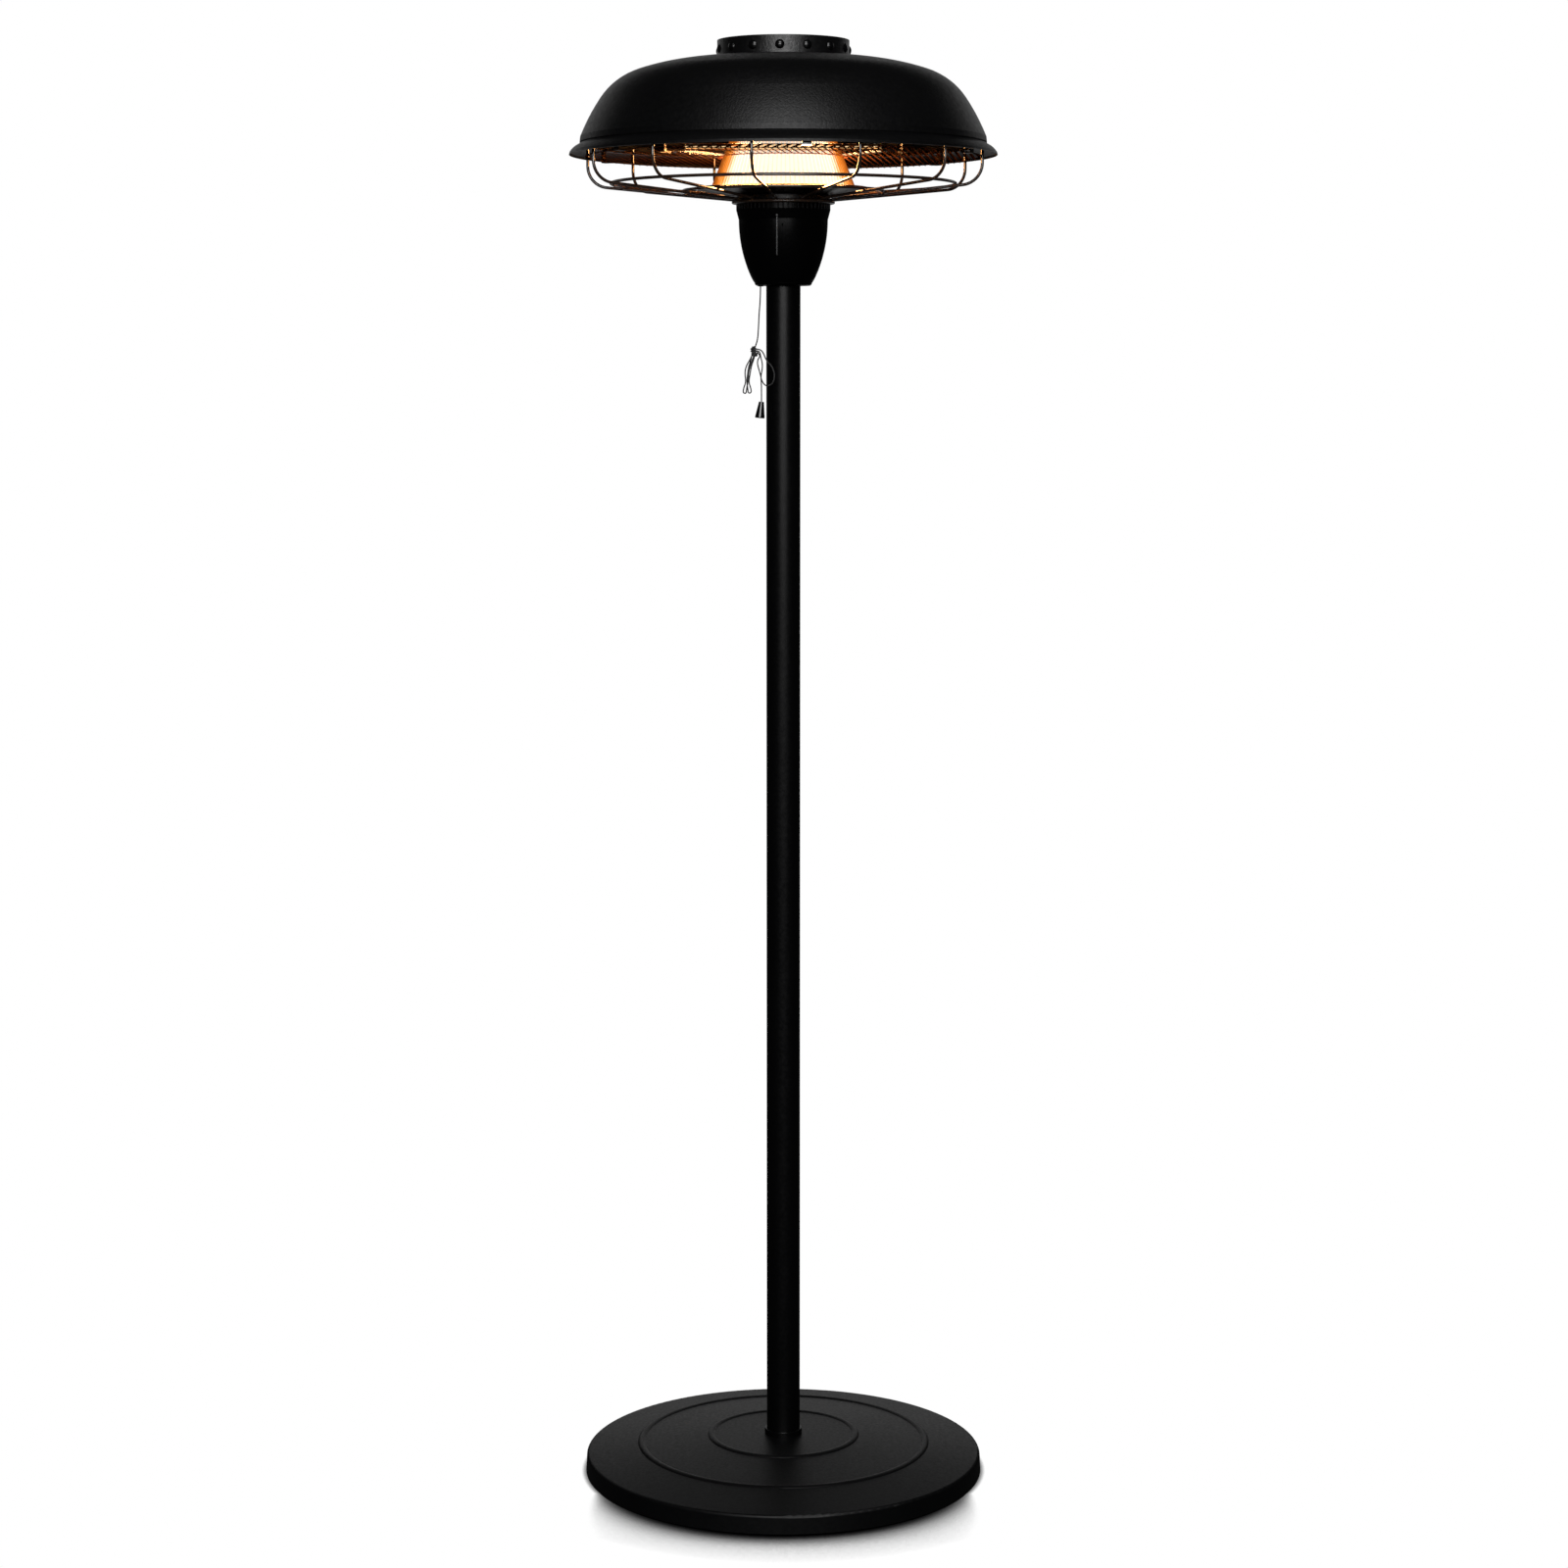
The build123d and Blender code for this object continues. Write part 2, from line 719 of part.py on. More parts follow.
def make_set_screws():
    shapes = []
    for angle in set_screw_angles:
        near, face = front(angle, pole_r + slip, set_screw_h), front(angle, sleeve_r + 0.1, set_screw_h)
        far = front(angle, sleeve_r + screw_head_h, set_screw_h)
        shapes.append(rod(near, face, screw_shank) + rod(face, far, screw_head - 0.6))
    return group(shapes)


def make_centre_column():
    column = disc(column_foot_r, flange_top, column_foot_top, column_bore)
    column += disc(column_r, column_foot_top, column_top_h, column_bore)
    for x, y, z in hub_bolt_places(flange_top):
        column -= Pos(x, y, z) * extrude(Circle(screw_shank + slip), flange_t)
    lead_cut = rod((0, 0, lead_h), (0, -column_r - 1, lead_h - 0.5), 2 * lead_r)
    for cut in ring_of(lead_cut, lamp_count, lead_turn):
        column -= cut
    return column


def make_hub_bolts():
    shapes = []
    for x, y, z in hub_bolt_places(column_foot_top):
        head = Pos(x, y, z) * extrude(RegularPolygon(screw_head, 6), screw_head_h)
        length = 2 * flange_t + hub_nut_h + 0.5
        shapes.append(head + Pos(x, y, z - length) * extrude(Circle(screw_shank), length))
    return group(shapes)


def make_hub_nuts():
    nut = extrude(RegularPolygon(screw_head, 6) - Circle(screw_shank + slip), hub_nut_h)
    return group([Pos(x, y, z) * nut for x, y, z in hub_bolt_places(flange_h - hub_nut_h)])


def make_column_nuts():
    bore = column_r + slip
    lows = (pan_top, cone_top_h - column_nut_h, eye_top, shade_under - column_nut_h, shade_top_h)
    return group([hexagon(column_nut_r, low, low + column_nut_h, bore) for low in lows])


def make_hub_pan():
    rim_top = pan_top + pan_slope_rise
    points = [(column_r + slip, pan_top), (pan_flat_r, pan_top), (pan_rim_r, rim_top),
              (pan_rim_r + pan_lip_run, rim_top + pan_lip)]
    return bent_sheet(points, [0, 0, 0], pan_wall)


# Fluted cone, lamps and reflector

def fluted_wire(height, middle_r, inset):
    count = 2 * cone_flutes
    points = []
    for i in range(count):
        radius = middle_r - inset + (cone_flute_depth if i % 2 else 0.0)
        angle = 2 * math.pi * i / count
        points.append((radius * math.cos(angle), radius * math.sin(angle)))
    return Pos(0, 0, height) * make_face(Polyline(*points, close=True))


def make_cone():
    skins = []
    for inset in (0.0, cone_wall):
        foot = fluted_wire(cone_foot_h, cone_foot_r, inset)
        skins.append(loft([foot, fluted_wire(cone_top_h, cone_top_r, inset)], ruled=True))
    return skins[0] - skins[1]


def lamp_line(start, end, radius):
    """Bar along the front lamp's axis, between two distances from its middle."""
    return rod((start, -lamp_inset, lamp_h), (end, -lamp_inset, lamp_h), radius)


def make_lamp_tubes():
    tube = lamp_line(-lamp_half, lamp_half, lamp_r) - lamp_line(-lamp_half, lamp_half, lamp_r - lamp_wall)
    return group(ring_of(tube, lamp_count))


def make_lamp_filaments():
    return group(ring_of(lamp_line(-lamp_half, lamp_half, filament_r), lamp_count))


def make_lamp_end_caps():
    shapes = []
    for side in (-1, 1):
        cap = lamp_line(side * lamp_half, side * (lamp_half + cap_len), cap_r)
        shapes += ring_of(cap, lamp_count)
    return group(shapes)


def make_lamp_holders():
    shapes = []
    face = lamp_half + cap_len
    for side in (-1, 1):
        low = min(side * face, side * (face + holder_t))
        plate = block((low, -lamp_inset - holder_half, mesh_top + holder_rise),
                      (low + holder_t, -lamp_inset + holder_half, reflector_under))
        shapes += ring_of(plate, lamp_count)
    return group(shapes)


def make_reflector():
    points = [(column_r + slip, eye_top), (reflector_eye_r, eye_top), (reflector_flat_in, reflector_flat_h),
              (reflector_flat_out, reflector_flat_h),
              (reflector_rim_r, reflector_flat_h - reflector_rim_drop)]
    reflector = bent_sheet(points, [0, 0, 0, 0], reflector_wall)
    hole = rod((0, -lead_run_r, lamp_h), (0, -lead_run_r, shade_under), lead_hole_r)
    for cut in ring_of(hole, lamp_count, lead_turn):
        reflector -= cut
    return reflector


def make_thermal_cutout():
    return Pos(cutout_at, 0, eye_top) * extrude(Circle(cutout_r), cutout_h)


def make_lamp_leads():
    """Insulated leads from the column, over the reflector and through its holes to one cap of each lamp."""
    lead = cord_tube(lead_route, corner_radii(lead_route), lead_r)
    return group(ring_of(lead, lamp_count, lead_turn))


# Shade and crown

def make_shade():
    points = [
        (column_r + slip, shade_top_h), (crown_r + shade_seat_edge, shade_top_h),
        (shade_crown_r, shade_crown_h),
        (shade_shoulder_r, shade_shoulder_h), (shade_side_r, shade_side_h), (groove_in_r, groove_in_h),
        (groove_r, groove_h), (skirt_in_r, skirt_in_h), (rim_in_r, rim_in_h), (rim_r, rim_h),
    ]
    bows = [0, shade_crown_bow, shade_shoulder_bow, shade_side_bow, 0, 0, 0, rim_bow, 0]
    return bent_sheet(points, bows, shade_wall)


def rivet_holes(low_r, high_r, radius):
    return ring_of(rod((0, -low_r, rivet_h), (0, -high_r, rivet_h), radius), rivet_count, rivet_turn)


def make_crown_band():
    band = disc(crown_r, shade_top_h, crown_top, crown_r - crown_wall)
    inner = crown_r - crown_wall
    band += disc(inner, shade_top_h, shade_top_h + crown_wall, inner - crown_flange_w)
    for hole in rivet_holes(crown_r - 5, crown_r + 2, rivet_shank + slip):
        band -= hole
    return band


def make_crown_cap():
    outer = crown_r - crown_wall - slip
    cap = disc(outer, crown_top - crown_wall, crown_top)
    cap += disc(outer, crown_top - cap_skirt_h, crown_top, outer - crown_wall)
    for hole in rivet_holes(crown_r - 6, crown_r + 2, rivet_shank + slip):
        cap -= hole
    return cap


def make_crown_rivets():
    ball_r = (rivet_head_r**2 + rivet_head_h**2) / (2 * rivet_head_h)
    seat = crown_r + slip
    head = Pos(0, -(seat + rivet_head_h - ball_r), rivet_h) * Sphere(ball_r)
    head -= block((-2 * ball_r, -seat, rivet_h - 2 * ball_r), (2 * ball_r, 0, rivet_h + 2 * ball_r))
    tail_top = crown_r - 2 * crown_wall - 2 * slip - 0.1
    shank = rod((0, -seat, rivet_h), (0, -tail_top + 1, rivet_h), rivet_shank)
    tail = rod((0, -tail_top, rivet_h), (0, -tail_top + 1.5, rivet_h), rivet_tail_r)
    return group(ring_of(head + shank + tail, rivet_count, rivet_turn))


# Mesh guard and cage

def make_mesh_guard():
    """Flat ring with rings of diamond gaps."""
    span = mesh_out_r - mesh_in_r - 2 * mesh_band
    pitch = span / mesh_ring_count
    outline = Circle(mesh_out_r) - Circle(mesh_in_r)
    gaps = []
    for ring in range(mesh_ring_count):
        middle = mesh_in_r + mesh_band + pitch * (ring + 0.5)
        half_long = (pitch - mesh_wire) / 2
        half_wide = math.pi * middle / mesh_gap_count - mesh_wire / 2
        diamond = make_face(Polyline((middle - half_long, 0), (middle, half_wide), (middle + half_long, 0),
                                     (middle, -half_wide), close=True))
        pitch_angle = 360 / mesh_gap_count
        gaps += [Rot(0, 0, pitch_angle * (i + ring % 2 / 2)) * diamond for i in range(mesh_gap_count)]
    holes = [gap.face().outer_wire() for gap in gaps]
    sheet = outline.face().make_holes(holes)
    return Pos(0, 0, mesh_h) * extrude(sheet, mesh_t)


def rib_z(radius):
    return rib_corner_h - rib_slope * (rib_out_r - radius)


def make_cage_ribs():
    path = FilletPolyline((0, -rib_out_r, rim_h + rib_top_rise), (0, -rib_out_r, rib_corner_h),
                          (0, -rib_in_r, rib_z(rib_in_r)), radius=rib_bend)
    section = Plane(origin=path @ 0, z_dir=path % 0) * Circle(rib_wire)
    return group(ring_of(sweep(section, path=path), rib_count, rib_turn))


def hoop(radius, height, wire):
    return Pos(0, 0, height) * Torus(radius, wire)


def hoop_lift():
    """How far a hoop's centre lies from the rib's, measured upright."""
    return (rib_wire + hoop_wire + weld_gap) * math.sqrt(1 + rib_slope**2)


def make_guard_brackets():
    y_out, y_in = -bracket_r, -(bracket_r - bracket_t)
    half = bracket_w / 2
    tab_in = -(bracket_r - bracket_tab)
    hook_low = top_hoop_h + rib_wire + hook_gap
    plate = block((-half, y_out, mesh_h - bracket_t), (half, y_in, bracket_top_h))
    plate += block((-half, y_out, mesh_h - bracket_t), (half, tab_in, mesh_h))
    plate += block((-half, y_out, hook_low), (half, rib_wire - top_hoop_r, hook_low + bracket_t))
    return group(ring_of(plate, bracket_count, bracket_turn))


# Pull switch

def make_switch_body():
    top_v = switch_half_w - switch_wall
    body = block((switch_in, -switch_half_w, switch_low), (switch_out, top_v, switch_top))
    chamber_h = chamber_top - chamber_low
    body -= Pos(cord_at, 0, chamber_low) * extrude(Circle(chamber_r), chamber_h)
    body -= block((cord_at - chamber_r, 0, chamber_low), (cord_at + chamber_r, top_v, chamber_top))
    body -= Pos(cord_at, 0, switch_low) * extrude(Circle(plunger_r + running_gap), chamber_h)
    low, high = rotor_in - rotor_side_gap, rotor_out + rotor_side_gap
    body -= rod((low, 0, rotor_h), (high, 0, rotor_h), rotor_room)
    body -= block((low, 0, rotor_h - rotor_room), (high, top_v, rotor_h + rotor_room))
    pin_room = rotor_pin_room
    body -= rod((rotor_pin_in - pin_room, 0, rotor_h), (rotor_pin_out + pin_room, 0, rotor_h),
                rotor_pin_r + slip)
    return across * body


def make_switch_cover():
    low, high = switch_half_w - switch_wall, switch_half_w
    return across * block((switch_in, low, switch_low), (switch_out, high, switch_top))


def make_switch_bracket():
    low_u, high_u = switch_in + bracket_edge, switch_out - bracket_edge
    half = switch_half_w
    shape = block((low_u, -half, switch_top), (high_u, half, switch_top + bracket_web))
    shape += block((low_u, -half, switch_top), (high_u, -half + bracket_web, flange_h))
    shape += block((low_u, -half, flange_h - bracket_web), (high_u, bracket_edge, flange_h))
    return across * shape


def make_switch_plunger():
    stem = Pos(cord_at, 0, plunger_low) * extrude(Circle(plunger_r), plunger_head_low - plunger_low)
    head = Pos(cord_at, 0, plunger_head_low) * extrude(Circle(plunger_head_r), plunger_head_t)
    return across * (stem + head)


def make_switch_rotor():
    side = Plane(origin=(rotor_in, 0, rotor_h), x_dir=(0, 1, 0), z_dir=(1, 0, 0))
    wheel = extrude(side * RegularPolygon(rotor_r, rotor_tooth_count), rotor_out - rotor_in)
    pin = rod((rotor_pin_in, 0, rotor_h), (rotor_pin_out, 0, rotor_h), rotor_pin_r)
    return across * (wheel + pin)


def make_switch_spring():
    low = chamber_low + spring_wire + spring_end_gap
    height = plunger_head_low - chamber_low - 2 * (spring_wire + spring_end_gap)
    path = Helix(pitch=height / spring_turn_count, height=height, radius=spring_r)
    section = Plane(origin=path @ 0, z_dir=path % 0) * Circle(spring_wire)
    return across * Pos(cord_at, 0, low) * sweep(section, path=path, is_frenet=True)


def make_cord_eyelet():
    low, high = bell_base_h, bell_base_h + bell_wall
    shape = turned([
        (eyelet_bore, low - eyelet_flange_t), (eyelet_flange, low - eyelet_flange_t), (eyelet_flange, low),
        (eyelet_neck, low), (eyelet_neck, high), (eyelet_bore, high),
    ])
    x, y, _ = cord_route[0]
    return Pos(x, y, 0) * shape


def corner_radii(route):
    """Each corner's arc takes 0.45 of its shorter run."""
    points = [Vector(*p) for p in route]
    radii = []
    for before, corner, after in zip(points, points[1:], points[2:]):
        turn = (corner - before).get_angle(after - corner)
        run = min((corner - before).length, (after - corner).length)
        radii.append(0.45 * run / math.tan(math.radians(turn) / 2))
    return radii


def cord_tube(route, radii, radius):
    path = FilletPolyline(*route, radius=radii)
    section = Plane(origin=path @ 0, z_dir=path % 0) * Circle(radius)
    return sweep(section, path=path)


def make_pull_cord():
    radii = corner_radii(cord_route)
    tube = cord_tube(cord_route, radii, cord_r)
    path = FilletPolyline(*cord_route, radius=radii)
    print("cord corner radii", [round(r, 2) for r in radii])
    print("cord length", round(path.length, 1), "volume", round(tube.volume, 1),
          "section times length", round(math.pi * cord_r**2 * path.length, 1))
    print("least gap of the cord to itself", round(least_gap(path) - 2 * cord_r, 2))
    return tube


def least_gap(path):
    """Least distance between points of the cord's centre line that lie over 8 mm apart along it."""
    step = 0.5
    count = int(path.length / step)
    points = [path @ (i / count) for i in range(count + 1)]
    skip = int(8.0 / step)
    return min((points[i] - points[j]).length
               for i in range(len(points)) for j in range(i + skip, len(points)))


def make_cord_knot():
    side = ThreePointArc((0, -knot_half), (knot_r, 0), (0, knot_half))
    core = Plane.XZ * make_face([side, Line((0, knot_half), (0, -knot_half))])
    return Pos(knot_x, knot_y, knot_h) * Rot(0, knot_lean, 0) * revolve(core, Axis.Z)


def make_pull_knob():
    knob = turned([(0, 0), (knob_top_r, 0), (knob_low_r, -knob_len), (0, -knob_len)])
    knob = fillet(knob.edges().group_by(Axis.Z)[0], knob_round)
    knob = Pos(knob_x, knob_y, knob_top_h) * Rot(0, knob_lean, 0) * knob
    return knob - Pos(knob_x, knob_y, cord_end_h) * extrude(Circle(knob_bore), knob_len)


# Tip-over switch and terminal block

def make_tip_body():
    right = tip_half_w - tip_wall
    body = block((-tip_half_w, tip_in, tip_low), (right, tip_out, tip_top))
    body -= block((-tip_half_w + tip_wall, tip_in + tip_wall, tip_low + tip_wall),
                  (right, tip_out - tip_wall, tip_top - tip_wall))
    body += block((-lug_half, tip_in + lug_in, tip_top), (lug_half, tip_in + lug_in + lug_t, flange_h))
    return body - tip_pin(tip_pin_r + slip, tip_pin_end + 0.1)


def tip_pin(radius, end):
    middle = (tip_in + tip_out) / 2
    return rod((-end, middle, tip_pin_h), (end, middle, tip_pin_h), radius)


def make_tip_cover():
    low = tip_half_w - tip_wall
    cover = block((low, tip_in, tip_low), (tip_half_w, tip_out, tip_top))
    return cover - tip_pin(tip_pin_r + slip, tip_pin_end + 0.1)


def make_tip_pendulum():
    middle = (tip_in + tip_out) / 2
    low = tip_pin_h - bob_drop
    arm = block((-arm_half, middle - arm_half, low), (arm_half, middle + arm_half, tip_pin_h))
    bob = rod((-bob_half, middle, low), (bob_half, middle, low), bob_r)
    return tip_pin(tip_pin_r, tip_pin_end) + arm + bob


def terminal_places():
    return [(terminal_screw_x, terminal_pitch * i) for i in (-1, 0, 1)]


def make_terminal_block():
    body = block((terminal_in, -terminal_half_w, terminal_low),
                 (terminal_out, terminal_half_w, terminal_top))
    lug_at = terminal_in + lug_in
    body += block((lug_at, -lug_half, terminal_top), (lug_at + lug_t, lug_half, flange_h))
    for x, y in terminal_places():
        body -= Pos(x, y, terminal_low) * extrude(Circle(small_shank + slip), terminal_h)
    return body


def make_terminal_screws():
    shapes = []
    for x, y in terminal_places():
        shank = extrude(Circle(small_shank), terminal_screw_len)
        shank = Pos(x, y, terminal_top - terminal_screw_len) * shank
        shapes.append(shank + Pos(x, y, terminal_top) * extrude(Circle(small_head), small_head_h))
    return group(shapes)


makers = {
    "base_cover": make_base_cover,
    "base_weight": make_base_weight,
    "base_bottom_plate": make_bottom_plate,
    "rubber_feet": make_rubber_feet,
    "base_screws": make_base_screws,
    "foot_washer": make_foot_washer,
    "foot_bolt": make_foot_bolt,
    "pole_plug": lambda: disc(pole_bore - slip, cover_top_h, plug_top, bolt_shank + slip),
    "foot_collar": make_foot_collar,
    "pole_lower": make_pole_lower,
    "pole_middle": lambda: disc(pole_r, seam_low, seam_high, pole_bore),
    "pole_upper": lambda: disc(pole_r, seam_high, flange_h, pole_bore),
    "coupler_lower": lambda: make_coupler(seam_low),
    "coupler_upper": lambda: make_coupler(seam_high),
    "cable_grommet": make_cable_grommet,
    "pole_socket": make_pole_socket,
    "socket_set_screws": make_set_screws,
    "bell_housing": make_bell,
    "bell_screws": make_bell_screws,
    "collar_ring": make_collar_ring,
    "hub_neck": make_hub_neck,
    "hub_pan": make_hub_pan,
    "centre_column": make_centre_column,
    "column_nuts": make_column_nuts,
    "hub_bolts": make_hub_bolts,
    "hub_nuts": make_hub_nuts,
    "fluted_cone": make_cone,
    "lamp_tubes": make_lamp_tubes,
    "lamp_filaments": make_lamp_filaments,
    "lamp_end_caps": make_lamp_end_caps,
    "lamp_holders": make_lamp_holders,
    "lamp_leads": make_lamp_leads,
    "inner_reflector": make_reflector,
    "thermal_cutout": make_thermal_cutout,
    "shade": make_shade,
    "crown_band": make_crown_band,
    "crown_cap": make_crown_cap,
    "crown_rivets": make_crown_rivets,
    "mesh_guard": make_mesh_guard,
    "cage_ribs": make_cage_ribs,
    "cage_outer_hoop": lambda: hoop(outer_hoop_r, rib_z(outer_hoop_r) + hoop_lift(), hoop_wire),
    "cage_middle_hoop": lambda: hoop(middle_hoop_r, rib_z(middle_hoop_r) + hoop_lift(), hoop_wire),
    "cage_inner_hoop": lambda: hoop(inner_hoop_r, rib_z(inner_hoop_r) - hoop_lift(), hoop_wire),
    "cage_top_hoop": lambda: hoop(top_hoop_r, top_hoop_h, rib_wire),
    "guard_brackets": make_guard_brackets,
    "switch_body": make_switch_body,
    "switch_cover": make_switch_cover,
    "switch_bracket": make_switch_bracket,
    "switch_plunger": make_switch_plunger,
    "switch_rotor": make_switch_rotor,
    "switch_spring": make_switch_spring,
    "cord_eyelet": make_cord_eyelet,
    "pull_cord": make_pull_cord,
    "cord_knot": make_cord_knot,
    "pull_knob": make_pull_knob,
    "tip_switch_body": make_tip_body,
    "tip_switch_cover": make_tip_cover,
    "tip_pendulum": make_tip_pendulum,
    "terminal_block": make_terminal_block,
    "terminal_screws": make_terminal_screws,
}

os.makedirs("parts", exist_ok=True)
for name, make in makers.items():
    export_step(make(), f"parts/{name}.step")
print("wrote", len(makers), "nodes")
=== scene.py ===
import bpy
import math
import numpy as np
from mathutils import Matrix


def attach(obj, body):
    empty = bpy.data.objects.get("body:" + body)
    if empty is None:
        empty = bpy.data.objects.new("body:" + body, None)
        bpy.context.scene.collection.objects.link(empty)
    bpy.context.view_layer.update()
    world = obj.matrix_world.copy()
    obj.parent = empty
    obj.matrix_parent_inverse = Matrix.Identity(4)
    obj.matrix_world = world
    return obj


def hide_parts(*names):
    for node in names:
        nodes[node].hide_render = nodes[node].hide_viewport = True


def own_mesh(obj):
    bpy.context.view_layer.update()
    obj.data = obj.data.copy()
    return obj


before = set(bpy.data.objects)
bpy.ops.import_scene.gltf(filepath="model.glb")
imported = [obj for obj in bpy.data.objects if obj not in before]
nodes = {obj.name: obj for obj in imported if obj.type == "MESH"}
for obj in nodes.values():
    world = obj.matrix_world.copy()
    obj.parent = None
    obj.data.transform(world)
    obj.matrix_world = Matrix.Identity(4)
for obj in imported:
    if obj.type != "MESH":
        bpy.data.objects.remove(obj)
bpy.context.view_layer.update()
scene = bpy.context.scene
print("frame loaded,", len(nodes), "nodes")

cameraSetup = {
    "place": (0.0009, -4.3717, 1.4954),
    "pitchDown": 7.186,
    "lens": 75.67,
    "sensor": 36.0,
}


def addCamera(setup):
    data = bpy.data.cameras.new("camera")
    data.lens = setup["lens"]
    data.sensor_width = setup["sensor"]
    camera = bpy.data.objects.new("camera", data)
    camera.location = setup["place"]
    camera.rotation_euler = (math.radians(90 - setup["pitchDown"]), 0, 0)
    scene.collection.objects.link(camera)
    scene.camera = camera


addCamera(cameraSetup)
print("camera done")


# Faces of a grid of points, counted row by row: each joins a point, the next one in its row and the same two
# in the next row. The last row or column joins the first where it is closed.
def gridFaces(rows, columns, closeRows, closeColumns):
    r = np.arange(rows if closeRows else rows - 1)
    c = np.arange(columns if closeColumns else columns - 1)
    r, c = np.meshgrid(r, c, indexing="ij")
    r2, c2 = (r + 1) % rows, (c + 1) % columns
    corners = [r * columns + c, r * columns + c2, r2 * columns + c2, r2 * columns + c]
    return np.stack(corners, axis=-1).reshape(-1, 4)


# A visible piece of the object, smooth but for edges sharper than so many degrees.
def addPiece(name, points, faces, replaced=(), body="stand", sharpAngle=35.0):
    mesh = bpy.data.meshes.new(name)
    mesh.from_pydata(np.asarray(points, float).reshape(-1, 3).tolist(), [], [list(f) for f in faces])
    mesh.update()
    mesh.shade_smooth()
    mesh.set_sharp_from_angle(angle=math.radians(sharpAngle))
    piece = bpy.data.objects.new(name, mesh)
    scene.collection.objects.link(piece)
    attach(piece, body)
    if replaced:
        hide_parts(*replaced)
    return piece


# A round tube with closed ends: circles of the given radius, square to the path, carried along it. A circle
# starts square to both the path and the reference direction.
def tubeAlong(path, radius, sides, reference):
    ahead = np.gradient(path, axis=0)
    ahead /= np.linalg.norm(ahead, axis=1, keepdims=True)
    side = np.cross(ahead, reference)
    side /= np.linalg.norm(side, axis=1, keepdims=True)
    up = np.cross(side, ahead)
    turn = np.linspace(0, 2 * np.pi, sides, endpoint=False)
    radii = np.broadcast_to(np.asarray(radius, float), (len(path),))[:, None, None]
    ring = np.cos(turn)[None, :, None] * side[:, None] + np.sin(turn)[None, :, None] * up[:, None]
    points = path[:, None] + radii * ring
    faces = gridFaces(len(path), sides, False, True).tolist()
    last = (len(path) - 1) * sides
    faces.append(list(range(sides))[::-1])
    faces.append(list(range(last, last + sides)))
    return points.reshape(-1, 3), faces


# Several meshes as one: the points follow each other, and each mesh's faces count on from those before it.
def joined(parts):
    points, faces, count = [], [], 0
    for p, f in parts:
        points.append(np.asarray(p, float).reshape(-1, 3))
        faces.extend([[i + count for i in face] for face in f])
        count += len(points[-1])
    return np.concatenate(points), faces


# A material with its node tree. Texture sizes are counted per metre of the object.
class Shader:
    def __init__(self, name):
        self.material = bpy.data.materials.new(name)
        self.material.use_nodes = True
        self.tree = self.material.node_tree
        self.surface = self.tree.nodes["Principled BSDF"]
        self.where = self.add("ShaderNodeTexCoord").outputs["Object"]

    def add(self, kind, settings=None, **sockets):
        node = self.tree.nodes.new(kind)
        for key, value in (settings or {}).items():
            setattr(node, key, value)
        for key, value in sockets.items():
            self.put(node.inputs[key.replace("_", " ")], value)
        return node

    def put(self, socket, value):
        if isinstance(value, bpy.types.NodeSocket):
            self.tree.links.new(value, socket)
        else:
            socket.default_value = value

    def noise(self, scale, detail=2.0, roughness=0.5, where=None):
        node = self.add("ShaderNodeTexNoise", Vector=where or self.where, Scale=scale, Detail=detail,
                        Roughness=roughness)
        return node.outputs["Fac"]

    # A noise mostly stays between 0.3 and 0.7, so that is the range that low to high is laid on.
    def span(self, value, low, high, fromLow=0.3, fromHigh=0.7):
        node = self.add("ShaderNodeMapRange", Value=value, From_Min=fromLow, From_Max=fromHigh,
                        To_Min=low, To_Max=high)
        return node.outputs["Result"]

    def mix(self, share, a, b):
        node = self.add("ShaderNodeMix", {"data_type": "RGBA"})
        self.put(node.inputs["Factor"], share)
        self.put(node.inputs[6], a)
        self.put(node.inputs[7], b)
        return node.outputs[2]

    def math(self, operation, a, b=0.0):
        node = self.add("ShaderNodeMath", {"operation": operation})
        self.put(node.inputs[0], a)
        self.put(node.inputs[1], b)
        return node.outputs[0]

    # Two shares, one or none: seen by the camera, straight or through glass, and seen in a reflection.
    def sight(self):
        path = self.add("ShaderNodeLightPath").outputs
        return self.math("MAXIMUM", path["Is Camera Ray"], path["Is Transmission Ray"]), path["Is Glossy Ray"]

    def bump(self, height, distance, normal=None):
        node = self.add("ShaderNodeBump", Height=height, Distance=distance, Strength=1.0)
        if normal:
            self.put(node.inputs["Normal"], normal)
        return node.outputs["Normal"]

    def set(self, **sockets):
        for key, value in sockets.items():
            self.put(self.surface.inputs[key.replace("_", " ")], value)


coatLook = {
    "clouds": 9.0,
    "coarseGrain": 3,  # times the fine grain's size
    "smears": 6,  # of the roughness, times the fine grain's size
    "roughSpread": 0.05,
}


# Paint or plastic: two close tones in soft clouds, with a grain of two sizes as bump and a cloudy roughness.
def coated(name, dark, light, rough, grain, depth, gloss=0.5, speckle=2.0):
    s = Shader(name)
    clouds = s.span(s.noise(coatLook["clouds"], detail=4.0, roughness=0.6), 0.0, 1.0)
    coarse = s.bump(s.noise(grain / coatLook["coarseGrain"]), depth * speckle)
    smears = s.noise(grain / coatLook["smears"], detail=3.0)
    s.set(Base_Color=s.mix(clouds, (*dark, 1), (*light, 1)), Specular_IOR_Level=gloss,
          Roughness=s.span(smears, rough - coatLook["roughSpread"], rough + coatLook["roughSpread"]),
          Normal=s.bump(s.noise(grain, detail=3.0, roughness=0.6), depth, normal=coarse))
    return s.material


metalLook = {
    "streaks": (900, 900, 60),  # few along the height, so they run that way
    "streakDepth": 0.00002,
    "smears": 160,
    "roughSpread": 0.07,
}


